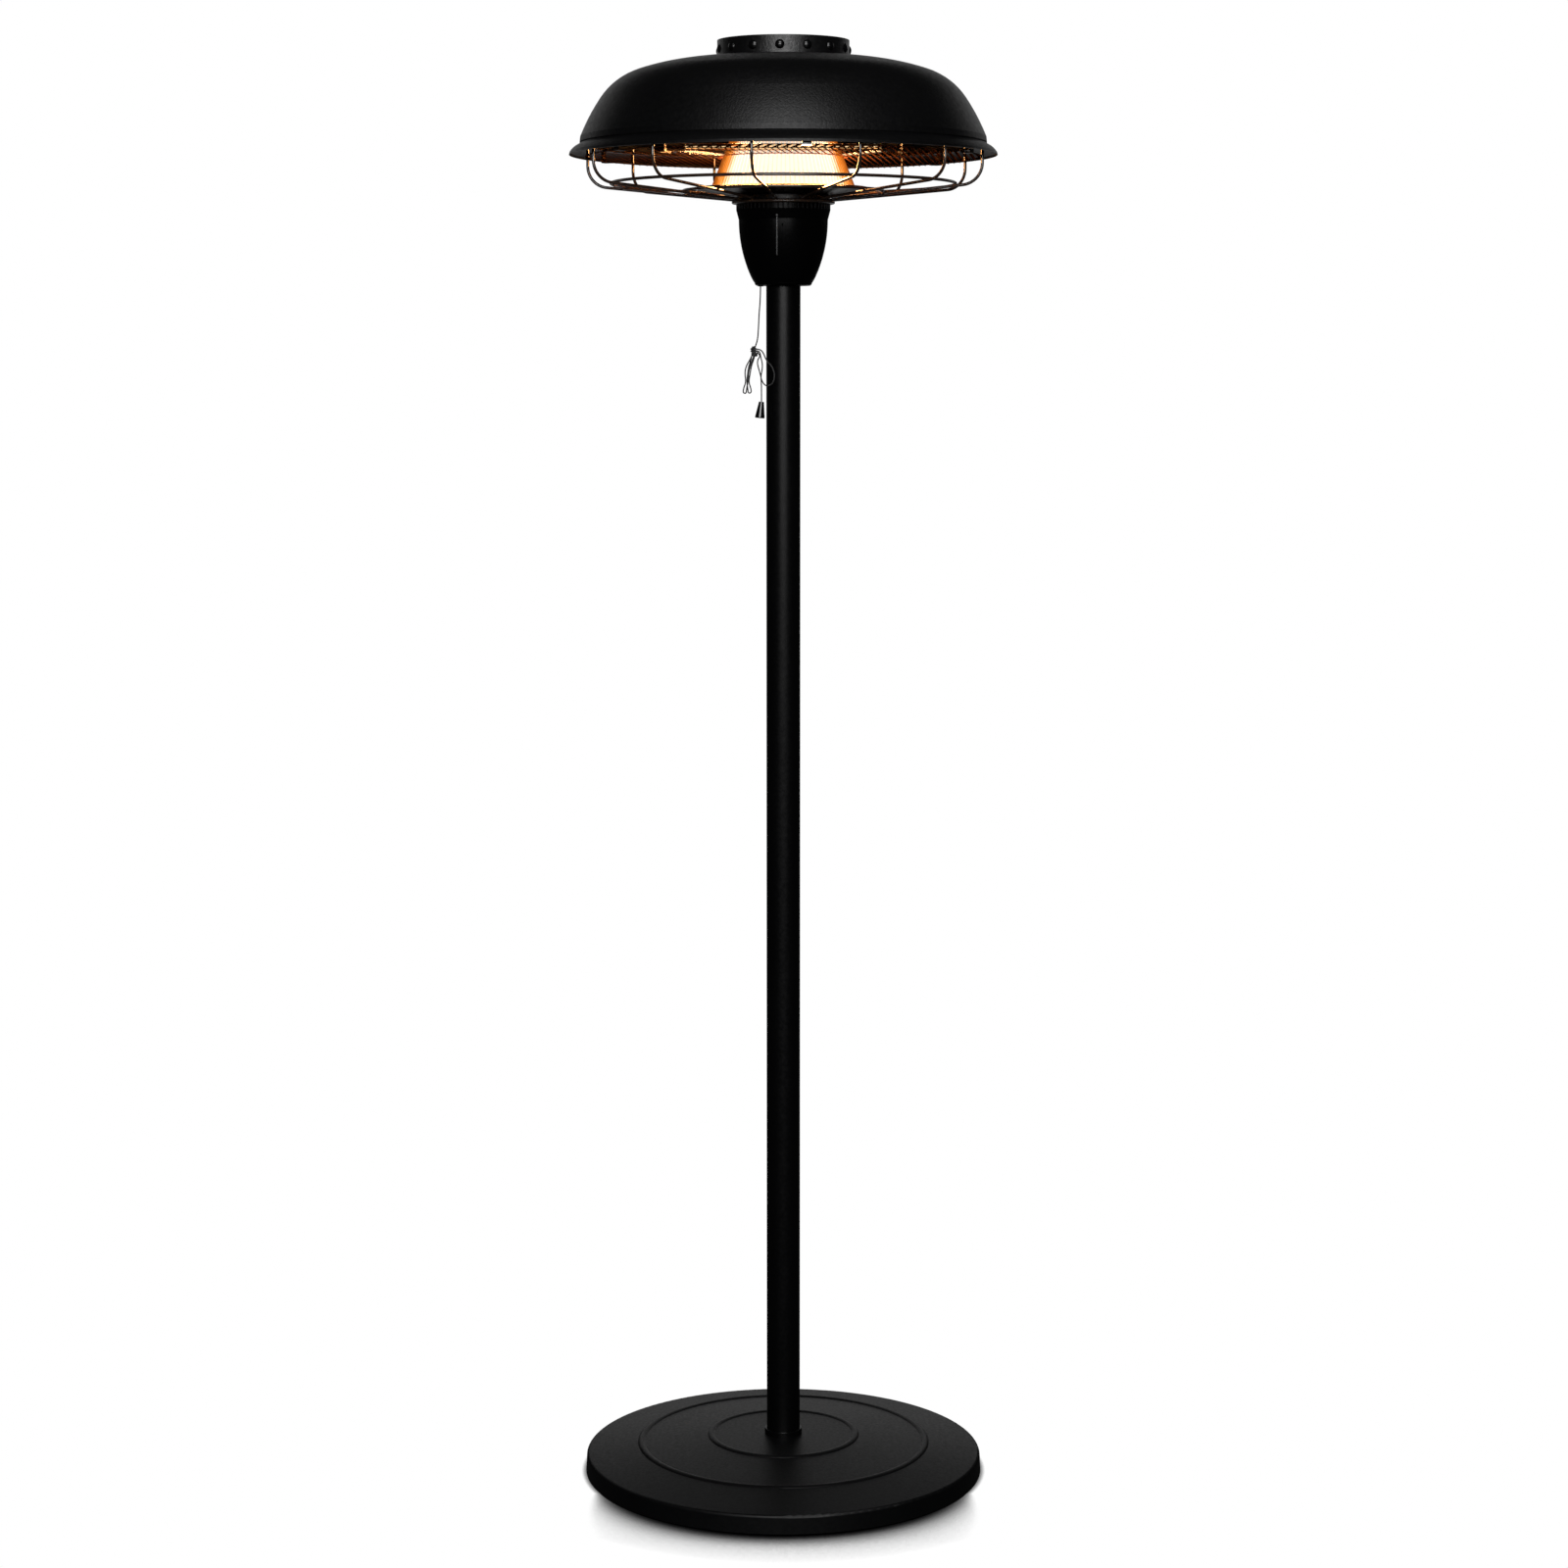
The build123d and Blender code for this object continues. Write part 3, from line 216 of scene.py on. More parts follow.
# Bare metal: two tones in fine streaks along the height, which are also its bump, and a cloudy roughness.
def bareMetal(name, dark, light, rough):
    s = Shader(name)
    stretched = s.add("ShaderNodeMapping", Vector=s.where, Scale=metalLook["streaks"]).outputs[0]
    streaks = s.noise(1.0, detail=4.0, roughness=0.6, where=stretched)
    smears = s.noise(metalLook["smears"], detail=3.0)
    s.set(Base_Color=s.mix(s.span(streaks, 0, 1), (*dark, 1), (*light, 1)), Metallic=1.0,
          Roughness=s.span(smears, rough - metalLook["roughSpread"], rough + metalLook["roughSpread"]),
          Normal=s.bump(streaks, metalLook["streakDepth"]))
    return s.material


paints = {
    "cover": coated("coverPaint", (0.001, 0.001, 0.0011), (0.0016, 0.0016, 0.0018),
                    rough=0.44, grain=1500, depth=0.00003, gloss=0.16),
    "bottom": coated("bottomPaint", (0.002, 0.002, 0.002), (0.004, 0.004, 0.004),
                     rough=0.6, grain=1200, depth=0.00004, gloss=0.2),
    "pole": coated("polePaint", (0.0006, 0.0006, 0.0007), (0.001, 0.001, 0.0012),
                   rough=0.35, grain=1500, depth=0.00003, gloss=0.15),
    "shade": coated("shadePaint", (0.001, 0.001, 0.0011), (0.0016, 0.0016, 0.0018),
                    rough=0.4, grain=1150, depth=0.00008, gloss=0.19, speckle=4.0),
    "crown": coated("crownPaint", (0.001, 0.001, 0.0011), (0.0016, 0.0016, 0.0018),
                    rough=0.37, grain=1150, depth=0.00008, gloss=0.34, speckle=4.0),
    "rivet": coated("rivetPaint", (0.0009, 0.0009, 0.001), (0.0014, 0.0014, 0.0016),
                    rough=0.22, grain=1800, depth=0.00001, gloss=0.3),
    "hub": coated("hubPaint", (0.0009, 0.0009, 0.001), (0.0014, 0.0014, 0.0015),
                  rough=0.3, grain=1500, depth=0.00001, gloss=0.14),
    "housing": coated("housingPlastic", (0.0006, 0.0006, 0.0007), (0.001, 0.001, 0.0011),
                      rough=0.3, grain=2200, depth=0.000005, gloss=0.05),
    # Pale grey on black plastic: a painted highlight for the housing's rib.
    "bead": coated("beadPaintedHighlight", (0.07, 0.07, 0.071), (0.09, 0.09, 0.092),
                   rough=0.3, grain=2200, depth=0.000002, gloss=0.6, speckle=1.0),
    "trim": coated("trimPlastic", (0.0009, 0.0009, 0.001), (0.0014, 0.0014, 0.0016),
                   rough=0.28, grain=2200, depth=0.00001, gloss=0.15),
    "knob": coated("knobPlastic", (0.0009, 0.0009, 0.001), (0.0015, 0.0015, 0.0018),
                   rough=0.14, grain=2200, depth=0.00001, gloss=0.5),
    # Dark brown on black-painted wire: the brown is partly a painted glow from the cone.
    "guard": coated("guardPaint", (0.02, 0.011, 0.007), (0.03, 0.017, 0.011),
                    rough=0.22, grain=1200, depth=0.000002, gloss=1.0, speckle=1.0),
    "rubber": coated("footRubber", (0.006, 0.006, 0.006), (0.012, 0.012, 0.012),
                     rough=0.75, grain=900, depth=0.00006, gloss=0.3),
    "switch": coated("switchPlastic", (0.62, 0.61, 0.57), (0.72, 0.71, 0.67),
                     rough=0.5, grain=900, depth=0.00003),
    "ceramic": coated("capCeramic", (0.42, 0.38, 0.32), (0.56, 0.51, 0.44),
                      rough=0.65, grain=700, depth=0.00006),
    "ballast": coated("ballastStone", (0.3, 0.29, 0.27), (0.46, 0.45, 0.42),
                      rough=0.9, grain=260, depth=0.0006),
    "sleeve": coated("leadSleeve", (0.5, 0.48, 0.42), (0.68, 0.66, 0.6),
                     rough=0.8, grain=2600, depth=0.0001),
    "zinc": bareMetal("zincPlate", (0.42, 0.43, 0.45), (0.62, 0.63, 0.65), rough=0.34),
    "iron": bareMetal("plugIron", (0.1, 0.1, 0.1), (0.2, 0.2, 0.2), rough=0.6),
    "alloy": bareMetal("socketAlloy", (0.42, 0.42, 0.44), (0.58, 0.58, 0.6), rough=0.45),
    "column": bareMetal("columnSteel", (0.42, 0.42, 0.44), (0.6, 0.6, 0.62), rough=0.3),
    # Near black for polished alloy: painted shade for the dark inside of the dome, which also offsets the
    # cone's stronger glow in reflections.
    "mirror": bareMetal("shadedMirrorAlloy", (0.015, 0.0125, 0.011), (0.026, 0.022, 0.019), rough=0.42),
    "spring": bareMetal("springSteel", (0.5, 0.5, 0.52), (0.7, 0.7, 0.72), rough=0.25),
    "brass": bareMetal("brassPlain", (0.55, 0.4, 0.16), (0.76, 0.58, 0.28), rough=0.3),
}

nodeFinish = {
    "base_cover": "cover", "base_weight": "ballast", "base_bottom_plate": "bottom", "rubber_feet": "rubber",
    "base_screws": "zinc", "foot_washer": "zinc", "foot_bolt": "zinc", "pole_plug": "iron",
    "foot_collar": "trim", "pole_lower": "pole", "pole_middle": "pole", "pole_upper": "pole",
    "coupler_lower": "zinc", "coupler_upper": "zinc", "cable_grommet": "rubber", "pole_socket": "alloy",
    "socket_set_screws": "zinc", "bell_housing": "housing", "bell_screws": "zinc", "collar_ring": "housing",
    "hub_neck": "hub", "hub_pan": "hub", "centre_column": "column", "column_nuts": "zinc",
    "hub_bolts": "zinc", "hub_nuts": "zinc", "lamp_end_caps": "ceramic", "lamp_holders": "mirror",
    "lamp_leads": "sleeve", "inner_reflector": "mirror", "thermal_cutout": "ceramic", "shade": "shade",
    "crown_band": "crown", "crown_cap": "crown", "crown_rivets": "rivet", "mesh_guard": "guard",
    "cage_ribs": "guard", "cage_outer_hoop": "guard", "cage_middle_hoop": "guard",
    "cage_inner_hoop": "guard", "cage_top_hoop": "guard", "guard_brackets": "guard",
    "switch_body": "switch", "switch_cover": "switch", "switch_bracket": "zinc",
    "switch_plunger": "switch", "switch_rotor": "switch", "switch_spring": "spring",
    "cord_eyelet": "trim", "pull_knob": "knob", "tip_switch_body": "switch", "tip_switch_cover": "switch",
    "tip_pendulum": "brass", "terminal_block": "ceramic", "terminal_screws": "brass",
}


# Gives a piece or node one material alone.
def finishWith(target, material):
    target.data.materials.clear()
    target.data.materials.append(material)


for nodeName, finish in nodeFinish.items():
    finishWith(nodes[nodeName], paints[finish])
print("node materials done")

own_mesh(nodes["switch_spring"])
print("switch spring done")

cordFacts = {
    "exit": (-0.0297, -0.0115, 1.622),
    "length": 0.535,
    "diameter": 0.0017,
    "dark": (0.0022, 0.0022, 0.0024),
    "light": (0.006, 0.006, 0.0066),
    "braids": 420.0,
    "braidDepth": 0.0001,
    "fuzz": 900,
}

# Millimetres, from the housing's foot through the knot, two narrow loops, a wide one and the knot again to
# the knob.
cordPoints = [
    (-29.7, -11.5, 1622.0), (-29.7, -11.5, 1590.0), (-31.8, -11.5, 1566.0), (-32.6, -11.6, 1546.0),
    (-33.8, -11.8, 1532.0), (-37.5, -12.6, 1521.5),
    (-42.6, -14.2, 1508.5), (-48.9, -15.2, 1498.5), (-50.6, -15.3, 1488.5), (-48.9, -15.2, 1478.0),
    (-52.3, -15.1, 1469.3), (-52.8, -15.0, 1463.4), (-48.7, -15.0, 1462.8), (-48.2, -15.0, 1468.8),
    (-46.2, -15.1, 1478.5), (-45.6, -15.3, 1490.0), (-43.0, -15.6, 1500.5), (-40.0, -15.8, 1508.0),
    (-38.1, -15.4, 1514.4), (-37.1, -8.4, 1514.4), (-38.8, -8.0, 1507.0),
    (-42.0, -8.2, 1498.5), (-43.8, -9.0, 1487.5), (-45.6, -9.2, 1477.5), (-42.6, -9.3, 1469.5),
    (-42.1, -9.4, 1463.6), (-46.2, -9.4, 1463.0), (-46.7, -9.4, 1469.0), (-48.1, -9.4, 1478.5),
    (-46.9, -9.5, 1488.5), (-45.4, -9.6, 1498.5), (-41.8, -9.3, 1508.5),
    (-40.6, -8.4, 1519.5), (-33.6, -8.0, 1521.0), (-27.0, -13.5, 1518.0), (-22.3, -18.0, 1505.5),
    (-14.2, -23.5, 1497.5), (-11.0, -25.2, 1486.5), (-13.6, -24.6, 1475.5), (-22.0, -21.5, 1471.8),
    (-28.0, -18.5, 1477.8), (-30.5, -16.8, 1489.5), (-34.0, -16.0, 1500.5), (-33.6, -15.4, 1507.0),
    (-30.0, -15.0, 1511.5), (-34.2, -14.2, 1516.8), (-33.6, -10.2, 1518.6), (-30.6, -9.2, 1516.2),
    (-29.6, -9.6, 1510.0), (-27.4, -10.6, 1502.0), (-27.6, -11.2, 1494.0), (-29.6, -11.5, 1485.5),
    (-28.5, -11.5, 1472.0), (-28.75, -11.5, 1446.0),
]


# Textile: slanting bands of two dark tones, which are also its bump.
def cordMaterial(facts):
    s = Shader("cordTextile")
    braid = s.add("ShaderNodeTexWave", {"bands_direction": "DIAGONAL"}, Vector=s.where,
                  Scale=facts["braids"], Distortion=2.0, Detail=2.0).outputs["Fac"]
    s.set(Base_Color=s.mix(braid, (*facts["dark"], 1), (*facts["light"], 1)),
          Roughness=s.span(s.noise(facts["fuzz"]), 0.55, 0.75), Sheen_Weight=0.2,
          Normal=s.bump(braid, facts["braidDepth"]))
    return s.material


# A smooth curve near the route's points, as thick as stated.
def addCord(facts, route):
    curve = bpy.data.curves.new("pullCord", "CURVE")
    curve.dimensions = "3D"
    spline = curve.splines.new("NURBS")
    spline.points.add(len(route) - 1)
    inMetres = np.c_[np.array(route) / 1000, np.ones(len(route))]
    spline.points.foreach_set("co", inMetres.ravel())
    spline.points.foreach_set("radius", np.full(len(route), facts["diameter"] / 2))
    spline.order_u = 3
    spline.use_endpoint_u = True
    spline.resolution_u = 6
    curve.bevel_depth = 1.0  # times each point's radius
    curve.bevel_resolution = 3
    curve.use_fill_caps = True
    cord = bpy.data.objects.new("pullCord", curve)
    scene.collection.objects.link(cord)
    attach(cord, "pull")
    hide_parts("pull_cord")
    finishWith(cord, cordMaterial(facts))
    return cord


knotShape = {
    "centre": (-0.0382, -0.0119, 1.5174),
    "lean": 16.0,  # degrees
    "half": 0.006364,  # half the height that the strands' middles cover
    "radius": 0.0049,
    "strand": 0.00085,
    "windings": ((4.2, 0.0, 0.0), (-2.604, 1.7, 0.0007), (1.3, 0.4, 0.0016)),  # turns, first angle, inset
    "taper": 0.85,  # 0 for a straight winding, 1 for a point at each end
    "slimmest": 0.2,
    "steps": 150,
    "sides": 8,
}


# A knot: strands wound round a leaning axis. Height runs steadily along the axis while the angle turns;
# the winding's radius is its widest times the root of one minus a square that grows from the middle to both
# ends. The second strand winds the other way, across the first, and the third fills the middle.
def addKnot(shape, material):
    t = np.linspace(-1, 1, shape["steps"])
    lean = math.radians(shape["lean"])
    axis = np.array([-math.sin(lean), 0, math.cos(lean)])
    across = np.array([math.cos(lean), 0, math.sin(lean)])
    depth = np.array([0.0, 1.0, 0.0])
    parts = []
    height = shape["half"] * t
    swell = np.sqrt(np.clip(1 - (shape["taper"] * t) ** 2, shape["slimmest"], 1))
    for turns, firstAngle, inset in shape["windings"]:
        angle = firstAngle + np.pi * turns * (t + 1)
        radius = (shape["radius"] - shape["strand"] - inset) * swell
        path = (np.array(shape["centre"]) + height[:, None] * axis
                + (radius * np.cos(angle))[:, None] * across + (radius * np.sin(angle))[:, None] * depth)
        parts.append(tubeAlong(path, shape["strand"], shape["sides"], axis))
    points, faces = joined(parts)
    knot = addPiece("cordKnot", points, faces, ["cord_knot"], "pull")
    finishWith(knot, material)
    return knot


bellBead = {
    "across": -0.0083,
    "lip": 1.701,
    "below": (0.0075, 0.013, 0.0254, 0.0376, 0.0497, 0.0603),  # down from the lip
    "out": (0.05935, 0.0577, 0.05726, 0.05598, 0.05383, 0.0511),  # out from the axis, at those heights
    "radius": 0.0009,
    "dotRadius": 0.0015,
    "dotLength": 0.0035,
    "dotPower": 2,  # a round end
    "restPower": 16,  # a nearly even width
    "slimmest": 0.03,
    "steps": 90,
    "sides": 12,
}


# A thin rounded bead on the rib in the switch housing's groove, pale grey as a painted highlight on the black
# rib, the dot at the top included. Its line is laid through the stated points.
# Its radius is the root of one minus the distance from the middle, from 0 to 1, to a power: once over the
# dot at the top and once over the rest.
def addBead(b):
    first, last = b["below"][0], b["below"][-1]
    dotEnd = first + b["dotLength"]
    down = np.linspace(first, last, b["steps"])
    out = np.interp(down, b["below"], b["out"])
    path = np.stack([np.full(len(down), b["across"]), -out, b["lip"] - down], axis=-1)

    def swell(start, end, power):
        fromMiddle = np.abs((down - start) / (end - start) * 2 - 1)
        return np.sqrt(np.clip(1 - fromMiddle ** power, b["slimmest"], 1))

    radius = np.where(down < dotEnd, b["dotRadius"] * swell(first, dotEnd, b["dotPower"]),
                      b["radius"] * swell(dotEnd, last, b["restPower"]))
    points, faces = tubeAlong(path, radius, b["sides"], (1.0, 0.0, 0.0))
    piece = addPiece("bellBead", points, faces)
    finishWith(piece, paints["bead"])


addBead(bellBead)
print("housing bead done")

cordPiece = addCord(cordFacts, cordPoints)
knotPiece = addKnot(knotShape, cordPiece.data.materials[0])
print("cord done")

meshGuard = {
    "outer": 0.2582,
    "inner": 0.08066,
    "low": 1.768784,
    "thick": 0.0008,
    "band": 0.004,
    "split": -0.19,  # the open weave lies in front of this line
    "splitWide": 0.0016,
    "spread": 0.29,  # the lines are laid out this far to each side
    "louvrePitch": 0.0084,
    "louvreWide": 0.0072,
    "louvreThick": 0.0004,
    "louvreTilt": -24.0,  # degrees
    "louvreSlope": 0.107,
    "wirePitch": 0.0118,
    "wireWide": 0.0018,
    "wireFlat": 0.8,  # thickness as a share of the width
    "crossSpread": 0.33,  # the slanting wires start further out on the left
    "crossSlope": -0.176,
    "dark": (0.032, 0.012, 0.006),
    "light": (0.054, 0.021, 0.011),
}


# Flat strips with a box section: each end's corners lie half a width to each side and half a thickness up and
# down, and both directions are turned about the strip's length by the tilt, in degrees.
def ribbons(starts, ends, wide, thick, tilt):
    starts, ends = np.asarray(starts, float), np.asarray(ends, float)
    ahead = ends - starts
    ahead /= np.linalg.norm(ahead, axis=1, keepdims=True)
    side = np.cross(ahead, (0, 0, 1.0))
    side /= np.linalg.norm(side, axis=1, keepdims=True)
    up = np.cross(side, ahead)
    c, s = math.cos(math.radians(tilt)), math.sin(math.radians(tilt))
    across, above = side * c + up * s, up * c - side * s
    corners = [(-0.5, -0.5), (0.5, -0.5), (0.5, 0.5), (-0.5, 0.5)]
    boxCorners = [p + across * (a * wide) + above * (b * thick) for p in (starts, ends) for a, b in corners]
    points = np.stack(boxCorners, axis=1)
    box = np.array([[0, 3, 2, 1], [4, 5, 6, 7], [0, 1, 5, 4], [1, 2, 6, 5], [2, 3, 7, 6], [3, 0, 4, 7]])
    faces = (np.arange(len(starts)) * 8)[:, None, None] + box[None]
    return points.reshape(-1, 3), faces.reshape(-1, 4).tolist()


# A flat ring with a box section: the section's four corners carried round the axis.
def flatRing(inner, outer, low, high, segments=144):
    turn = np.linspace(0, 2 * np.pi, segments, endpoint=False)
    section = np.array([(inner, low), (inner, high), (outer, high), (outer, low)])
    points = np.stack([np.outer(np.cos(turn), section[:, 0]), np.outer(np.sin(turn), section[:, 0]),
                       np.tile(section[:, 1], (segments, 1))], axis=-1)
    return points.reshape(-1, 3), gridFaces(segments, 4, True, True).tolist()


shortestStrip = 0.002


# Ends of the lines x = x0 + slope * y inside a ring and between two values of y. Where a line meets a circle,
# the sum of the squares of x and y is the radius squared, a quadratic in y, whose two roots are its ends.
def clippedLines(x0, slope, inner, outer, low, high):
    a, b, c = 1 + slope ** 2, x0 * slope, x0 ** 2
    root = np.sqrt(np.maximum(b ** 2 - a * (c - outer ** 2), 0))
    near, far = (-b - root) / a, (-b + root) / a
    hole = b ** 2 - a * (c - inner ** 2)
    cut = hole > 0
    holeRoot = np.sqrt(np.maximum(hole, 0))
    holeNear, holeFar = (-b - holeRoot) / a, (-b + holeRoot) / a
    spans = [(near, np.where(cut, holeNear, far), np.ones_like(cut)), (holeFar, far, cut)]
    starts, ends = [], []
    for first, last, wanted in spans:
        y1, y2 = np.maximum(first, low), np.minimum(last, high)
        keep = wanted & (y2 - y1 > shortestStrip)
        starts.append(np.stack([x0 + slope * y1, y1], axis=1)[keep])
        ends.append(np.stack([x0 + slope * y2, y2], axis=1)[keep])
    return np.concatenate(starts), np.concatenate(ends)


# Copper-brown paint, its tint partly a painted glow from the cone: two tones in clouds, a fine grain
# and no clear shine.
def meshMaterial(g):
    s = Shader("meshPaint")
    fine = s.noise(900, detail=3.0)
    clouds = s.span(s.noise(30, detail=3.0), 0, 1)
    s.set(Base_Color=s.mix(clouds, (*g["dark"], 1), (*g["light"], 1)),
          Roughness=s.span(fine, 0.6, 0.8), Specular_IOR_Level=0.0, Normal=s.bump(fine, 0.00003))
    return s.material


# Louvres behind the split line, two crossing sets of wires in front of it, a bar on it, a rim and a collar.
def addMeshGuard(g):
    middle = g["low"] + g["thick"] / 2
    high = g["low"] + g["thick"]
    inner, outer = g["inner"] + g["band"] / 2, g["outer"] - g["band"] / 2

    def strips(spread, pitch, slope, fromY, toY, wide, thick, tilt=0.0):
        ends = clippedLines(np.arange(-spread, g["spread"], pitch), slope, inner, outer, fromY, toY)
        level = [np.c_[xy, np.full(len(xy), middle)] for xy in ends]
        return ribbons(*level, wide, thick, tilt)

    wire = (g["wireWide"], g["wireWide"] * g["wireFlat"])
    edge = math.sqrt(outer ** 2 - g["split"] ** 2)
    points, faces = joined([
        strips(g["spread"], g["louvrePitch"], g["louvreSlope"], g["split"], outer,
               g["louvreWide"], g["louvreThick"], g["louvreTilt"]),
        strips(g["spread"], g["wirePitch"], 0.0, -outer, g["split"], *wire),
        strips(g["crossSpread"], g["wirePitch"], g["crossSlope"], -outer, g["split"], *wire),
        ribbons([(-edge, g["split"], middle)], [(edge, g["split"], middle)], g["splitWide"], g["thick"], 0.0),
        flatRing(g["outer"] - g["band"], g["outer"], g["low"], high),
        flatRing(g["inner"], g["inner"] + g["band"], g["low"], high),
    ])
    piece = addPiece("meshWeave", points, faces, ["mesh_guard"], sharpAngle=30.0)
    finishWith(piece, meshMaterial(g))


addMeshGuard(meshGuard)
print("mesh guard done")

# A reflector cone, not a lamp: its glow is painted and stands for the lamps' light on it.
coneShape = {
    "footRadius": 0.0951,
    "topRadius": 0.06242,
    "foot": 1.725484,
    "top": 1.806184,
    "flutes": 96,
    "stepsPerFlute": 8,
    "levels": 12,
    "depth": 0.0011,
    "wall": 0.001,
    "white": (1.0, 0.98, 0.86),
    "yellow": (1.0, 0.78, 0.36),
    "amber": (0.72, 0.19, 0.008),
    "cast": (1.0, 0.44, 0.14),
    "dimGlow": (0.16, 0.03, 0.003),
    "above": 1.769,  # seen through the mesh from here up, where the painted glow is dimmer
    "glow": 1.0,
    "glowAbove": 0.65,
    "castGlow": 34.0,  # painted glow cast on matt surfaces
    "castGloss": 85.0,  # in glossy ones, a stronger painted reflection
    "patchShare": 0.3,  # how far the glow's patches bend its edges
    "fluteShare": 0.08,
    "hollowShare": 0.75,
    "amberFrom": (-0.8, -0.45),  # glow level at which the dim edge glow turns to amber
    "whiteFrom": (-0.3, 0.05),  # glow level at which amber turns to white
}


# Fluted cone: the radius falls steadily with height, and ripples round the axis by the flute depth times
# half of one plus the cosine of the angle times the number of flutes. The inner skin lies a wall inside.
def addCone(c):
    turn = np.linspace(0, 2 * np.pi, c["flutes"] * c["stepsPerFlute"], endpoint=False)
    up = np.linspace(0, 1, c["levels"])
    ripple = c["depth"] * 0.5 * (1 + np.cos(turn * c["flutes"]))
    shares = np.concatenate([up, up[::-1]])
    inset = np.repeat([0.0, c["wall"]], len(up))
    base = c["footRadius"] + (c["topRadius"] - c["footRadius"]) * shares - inset
    radius = base[:, None] + ripple[None]
    height = np.broadcast_to((c["foot"] + (c["top"] - c["foot"]) * shares)[:, None], radius.shape)
    points = np.stack([radius * np.cos(turn), radius * np.sin(turn), height], axis=-1)
    faces = gridFaces(len(shares), len(turn), True, True)
    piece = addPiece("flutedCone", points, faces, ["fluted_cone"], sharpAngle=50.0)
    finishWith(piece, coneMaterial(c))


# A painted glow that stands for the lamps' light on the reflector. To the camera the glow is white towards
# the front and back and amber at the two sides, after the cosine of twice the angle, with a painted yellow
# highlight in each flute's hollow. On all else it casts an orange light.
def coneMaterial(c):
    s = Shader("paintedGlowCone")
    axes = s.add("ShaderNodeSeparateXYZ", Vector=s.where).outputs
    around = s.math("ARCTAN2", axes[0], s.math("MULTIPLY", axes[1], -1.0))
    lobes = s.math("COSINE", s.math("MULTIPLY", around, 2.0))
    flute = s.math("COSINE", s.math("MULTIPLY", around, float(c["flutes"])))
    patches = s.noise(45, detail=3.0)
    ripples = s.math("ADD", s.math("MULTIPLY", patches, c["patchShare"]),
                     s.math("MULTIPLY", flute, c["fluteShare"]))
    paintedGlowLevel = s.math("ADD", lobes, ripples)
    hollows = s.math("MULTIPLY", s.span(flute, c["hollowShare"], 0.0, -1.0, -0.2), s.span(patches, 0.2, 1.0))
    brightGlow = s.mix(hollows, (*c["white"], 1), (*c["yellow"], 1))
    sides = s.mix(s.span(paintedGlowLevel, 0.0, 1.0, *c["amberFrom"]), (*c["dimGlow"], 1), (*c["amber"], 1))
    colour = s.mix(s.span(paintedGlowLevel, 0.0, 1.0, *c["whiteFrom"]), sides, brightGlow)
    seen, reflected = s.sight()
    cast = s.span(reflected, c["castGlow"], c["castGloss"], 0.0, 1.0)
    shown = s.span(axes[2], c["glow"], c["glowAbove"], c["above"] - 0.001, c["above"] + 0.001)
    strength = s.add("ShaderNodeMapRange", Value=seen, From_Min=0.0, From_Max=1.0, To_Min=cast,
                     To_Max=shown).outputs["Result"]
    s.set(Base_Color=(0.05, 0.02, 0.006, 1), Roughness=s.span(patches, 0.45, 0.6), Specular_IOR_Level=0.2,
          Emission_Color=s.mix(seen, (*c["cast"], 1), colour), Emission_Strength=strength)
    return s.material


addCone(coneShape)

lampLook = {
    "glass": ((1, 0.86, 0.66), (1, 0.93, 0.8)),
    "index": 1.15,  # low, for faint reflections in the tubes
    "filament": ((1, 0.62, 0.3), (1, 0.86, 0.6)),
    "coils": 300.0,
    "glow": 1.0,
    "castGlow": 5.0,
}


# Tinted clear glass: two tones and a slight unevenness in one soft noise.
def quartzMaterial(look):
    s = Shader("quartzGlass")
    wave = s.noise(60, detail=3.0)
    dark, light = look["glass"]
    s.set(Base_Color=s.mix(wave, (*dark, 1), (*light, 1)), Roughness=s.span(wave, 0.02, 0.06),
          Transmission_Weight=1.0, IOR=look["index"], Normal=s.bump(wave, 0.00002))
    return s.material


# A glow in fine bands of two tones, which stand for the coil's turns.
def filamentMaterial(look):
    s = Shader("glowingFilament")
    coil = s.add("ShaderNodeTexWave", Vector=s.where, Scale=look["coils"]).outputs["Fac"]
    dark, light = look["filament"]
    seen = s.sight()[0]
    s.set(Base_Color=(0.3, 0.15, 0.06, 1), Emission_Color=s.mix(coil, (*dark, 1), (*light, 1)),
          Emission_Strength=s.span(seen, look["castGlow"], look["glow"], 0.0, 1.0))
    return s.material


finishWith(nodes["lamp_tubes"], quartzMaterial(lampLook))
finishWith(nodes["lamp_filaments"], filamentMaterial(lampLook))
print("cone and lamps done")

stageSetup = {
    "floorSize": 40.0,
    "shadowReach": (0.1, 0.007),  # in front of the base and beside it
    "shadowPower": (14.0, 3.0),
    "shadowSpan": (-0.28, -0.11),  # y of those two places
    "screenBehind": 2.2,
    "screens": {
        "low": {"half": 0.9, "from": 0.0, "to": 1.4, "level": 0.4},
        "high": {"half": 2.6, "from": 2.0, "to": 3.0, "level": 0.45},
    },
    "fill": 0.02,
}


# A sheet of the stage, not of the object, that throws no shadow and no light.
def flatSheet(name, corners):
    mesh = bpy.data.meshes.new(name)
    mesh.from_pydata(corners, [], [(0, 1, 2, 3)])
    sheet = bpy.data.objects.new(name, mesh)
    scene.collection.objects.link(sheet)
    sheet.visible_shadow = False
    sheet.visible_diffuse = False
    return sheet


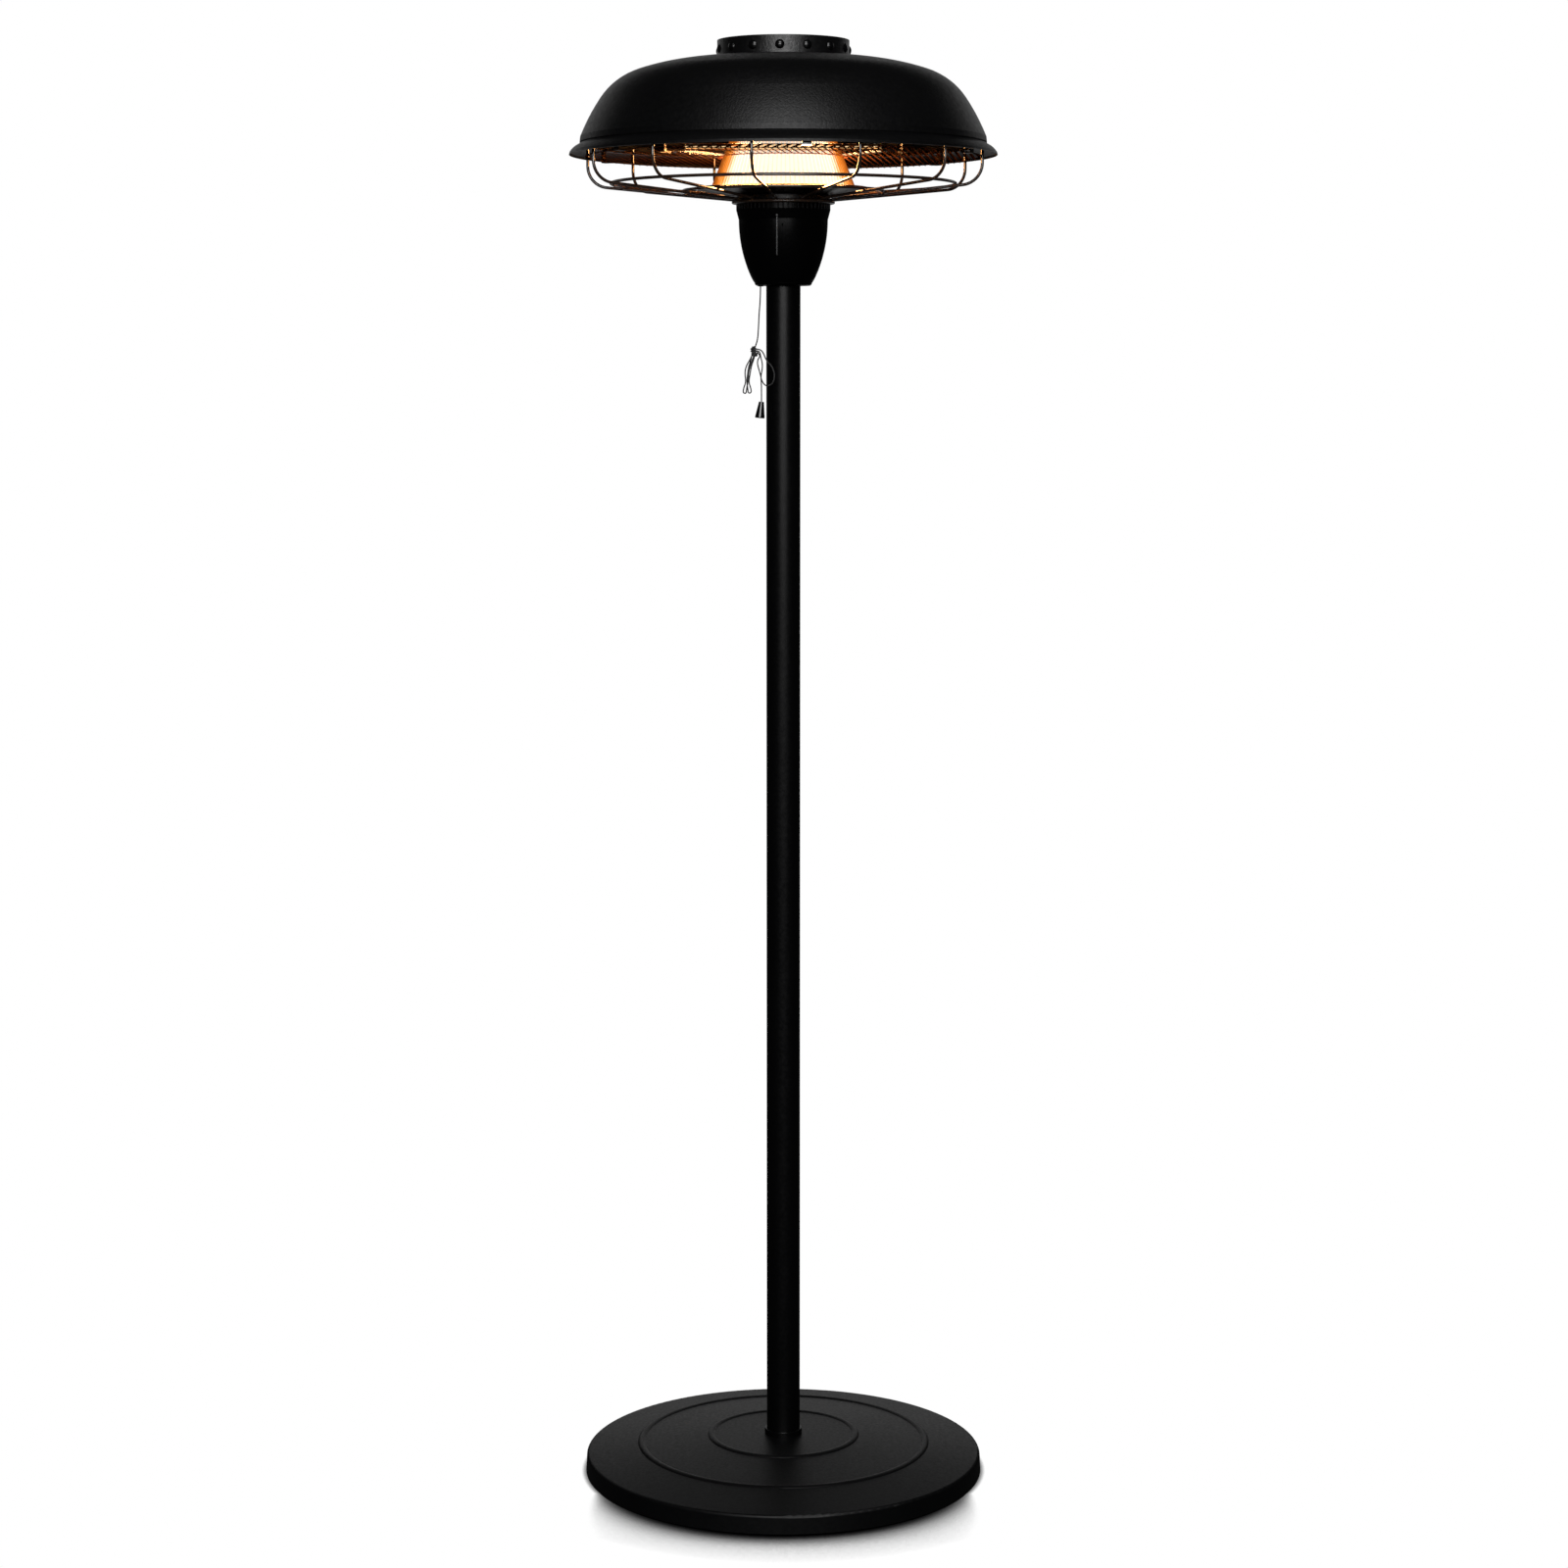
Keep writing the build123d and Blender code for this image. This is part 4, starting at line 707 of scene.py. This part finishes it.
# The floor shows white to the camera, with a painted shadow: the object's closeness darkens it by the share
# of open sky within a reach, raised to a power. Reach and power are large in front of the base and shrink
# towards its sides.
def addFloor(setup):
    half = setup["floorSize"] / 2
    floor = flatSheet("floor", [(-half, -half, 0), (half, -half, 0), (half, half, 0), (-half, half, 0)])
    floor.visible_glossy = False
    s = Shader("floorWhite")
    depth = s.add("ShaderNodeSeparateXYZ", Vector=s.where).outputs[1]
    reach = s.span(depth, *setup["shadowReach"], *setup["shadowSpan"])
    power = s.span(depth, *setup["shadowPower"], *setup["shadowSpan"])
    sky = s.add("ShaderNodeAmbientOcclusion", {"samples": 16}, Distance=reach).outputs["AO"]
    s.set(Base_Color=(0, 0, 0, 1), Roughness=1.0, Specular_IOR_Level=0.0, Emission_Strength=1.0,
          Emission_Color=s.mix(s.math("POWER", sky, power), (0, 0, 0, 1), (1, 1, 1, 1)))
    finishWith(floor, s.material)


# White screens behind the object that only reflections and glass see.
def addScreens(setup):
    y = setup["screenBehind"]
    for name, facts in setup["screens"].items():
        half, low, high = facts["half"], facts["from"], facts["to"]
        corners = [(-half, y, low), (half, y, low), (half, y, high), (-half, y, high)]
        screen = flatSheet(name + "Screen", corners)
        screen.visible_camera = False
        s = Shader(name + "ScreenWhite")
        path = s.add("ShaderNodeLightPath").outputs
        seen = s.math("MAXIMUM", path["Is Glossy Ray"], path["Is Transmission Ray"])
        s.set(Base_Color=(0, 0, 0, 1), Emission_Color=(1, 1, 1, 1),
              Emission_Strength=s.math("MULTIPLY", seen, facts["level"]))
        finishWith(screen, s.material)


# White to the camera and through glass, and a faint fill light on all else.
def addWorld(setup):
    world = bpy.data.worlds.new("world")
    world.use_nodes = True
    tree = world.node_tree
    background = tree.nodes["Background"]
    background.inputs["Color"].default_value = (1, 1, 1, 1)
    path = tree.nodes.new("ShaderNodeLightPath")
    both = tree.nodes.new("ShaderNodeMath")
    both.operation = "MAXIMUM"
    tree.links.new(path.outputs["Is Camera Ray"], both.inputs[0])
    tree.links.new(path.outputs["Is Transmission Ray"], both.inputs[1])
    span = tree.nodes.new("ShaderNodeMapRange")
    span.inputs["To Min"].default_value = setup["fill"]
    span.inputs["To Max"].default_value = 1.0
    tree.links.new(both.outputs[0], span.inputs["Value"])
    tree.links.new(span.outputs["Result"], background.inputs["Strength"])
    scene.world = world


lamps = {
    "frontBox": {"place": (0.0, -5.2, 2.7), "aim": (0, 0, 1.7), "size": (3.8, 1.8), "power": 215.0},
    "highBox": {"place": (0.05, -3.0, 4.4), "aim": (0, 0, 1.8), "size": (2.2, 1.4), "power": 95.0},
}


# A rectangle of light, turned from looking straight down to face the point it aims at.
def addLamp(name, lamp):
    data = bpy.data.lights.new(name, "AREA")
    data.shape = "RECTANGLE"
    data.size, data.size_y = lamp["size"]
    data.energy = lamp["power"]
    light = bpy.data.objects.new(name, data)
    light.location = lamp["place"]
    towards = np.array(lamp["aim"]) - np.array(lamp["place"])
    light.rotation_euler = (math.atan2(math.hypot(towards[0], towards[1]), -towards[2]), 0,
                            math.atan2(-towards[0], towards[1]))
    scene.collection.objects.link(light)


addFloor(stageSetup)
addScreens(stageSetup)
addWorld(stageSetup)
for lampName, lampFacts in lamps.items():
    addLamp(lampName, lampFacts)
scene.view_settings.view_transform = "Standard"
print("stage and light done")
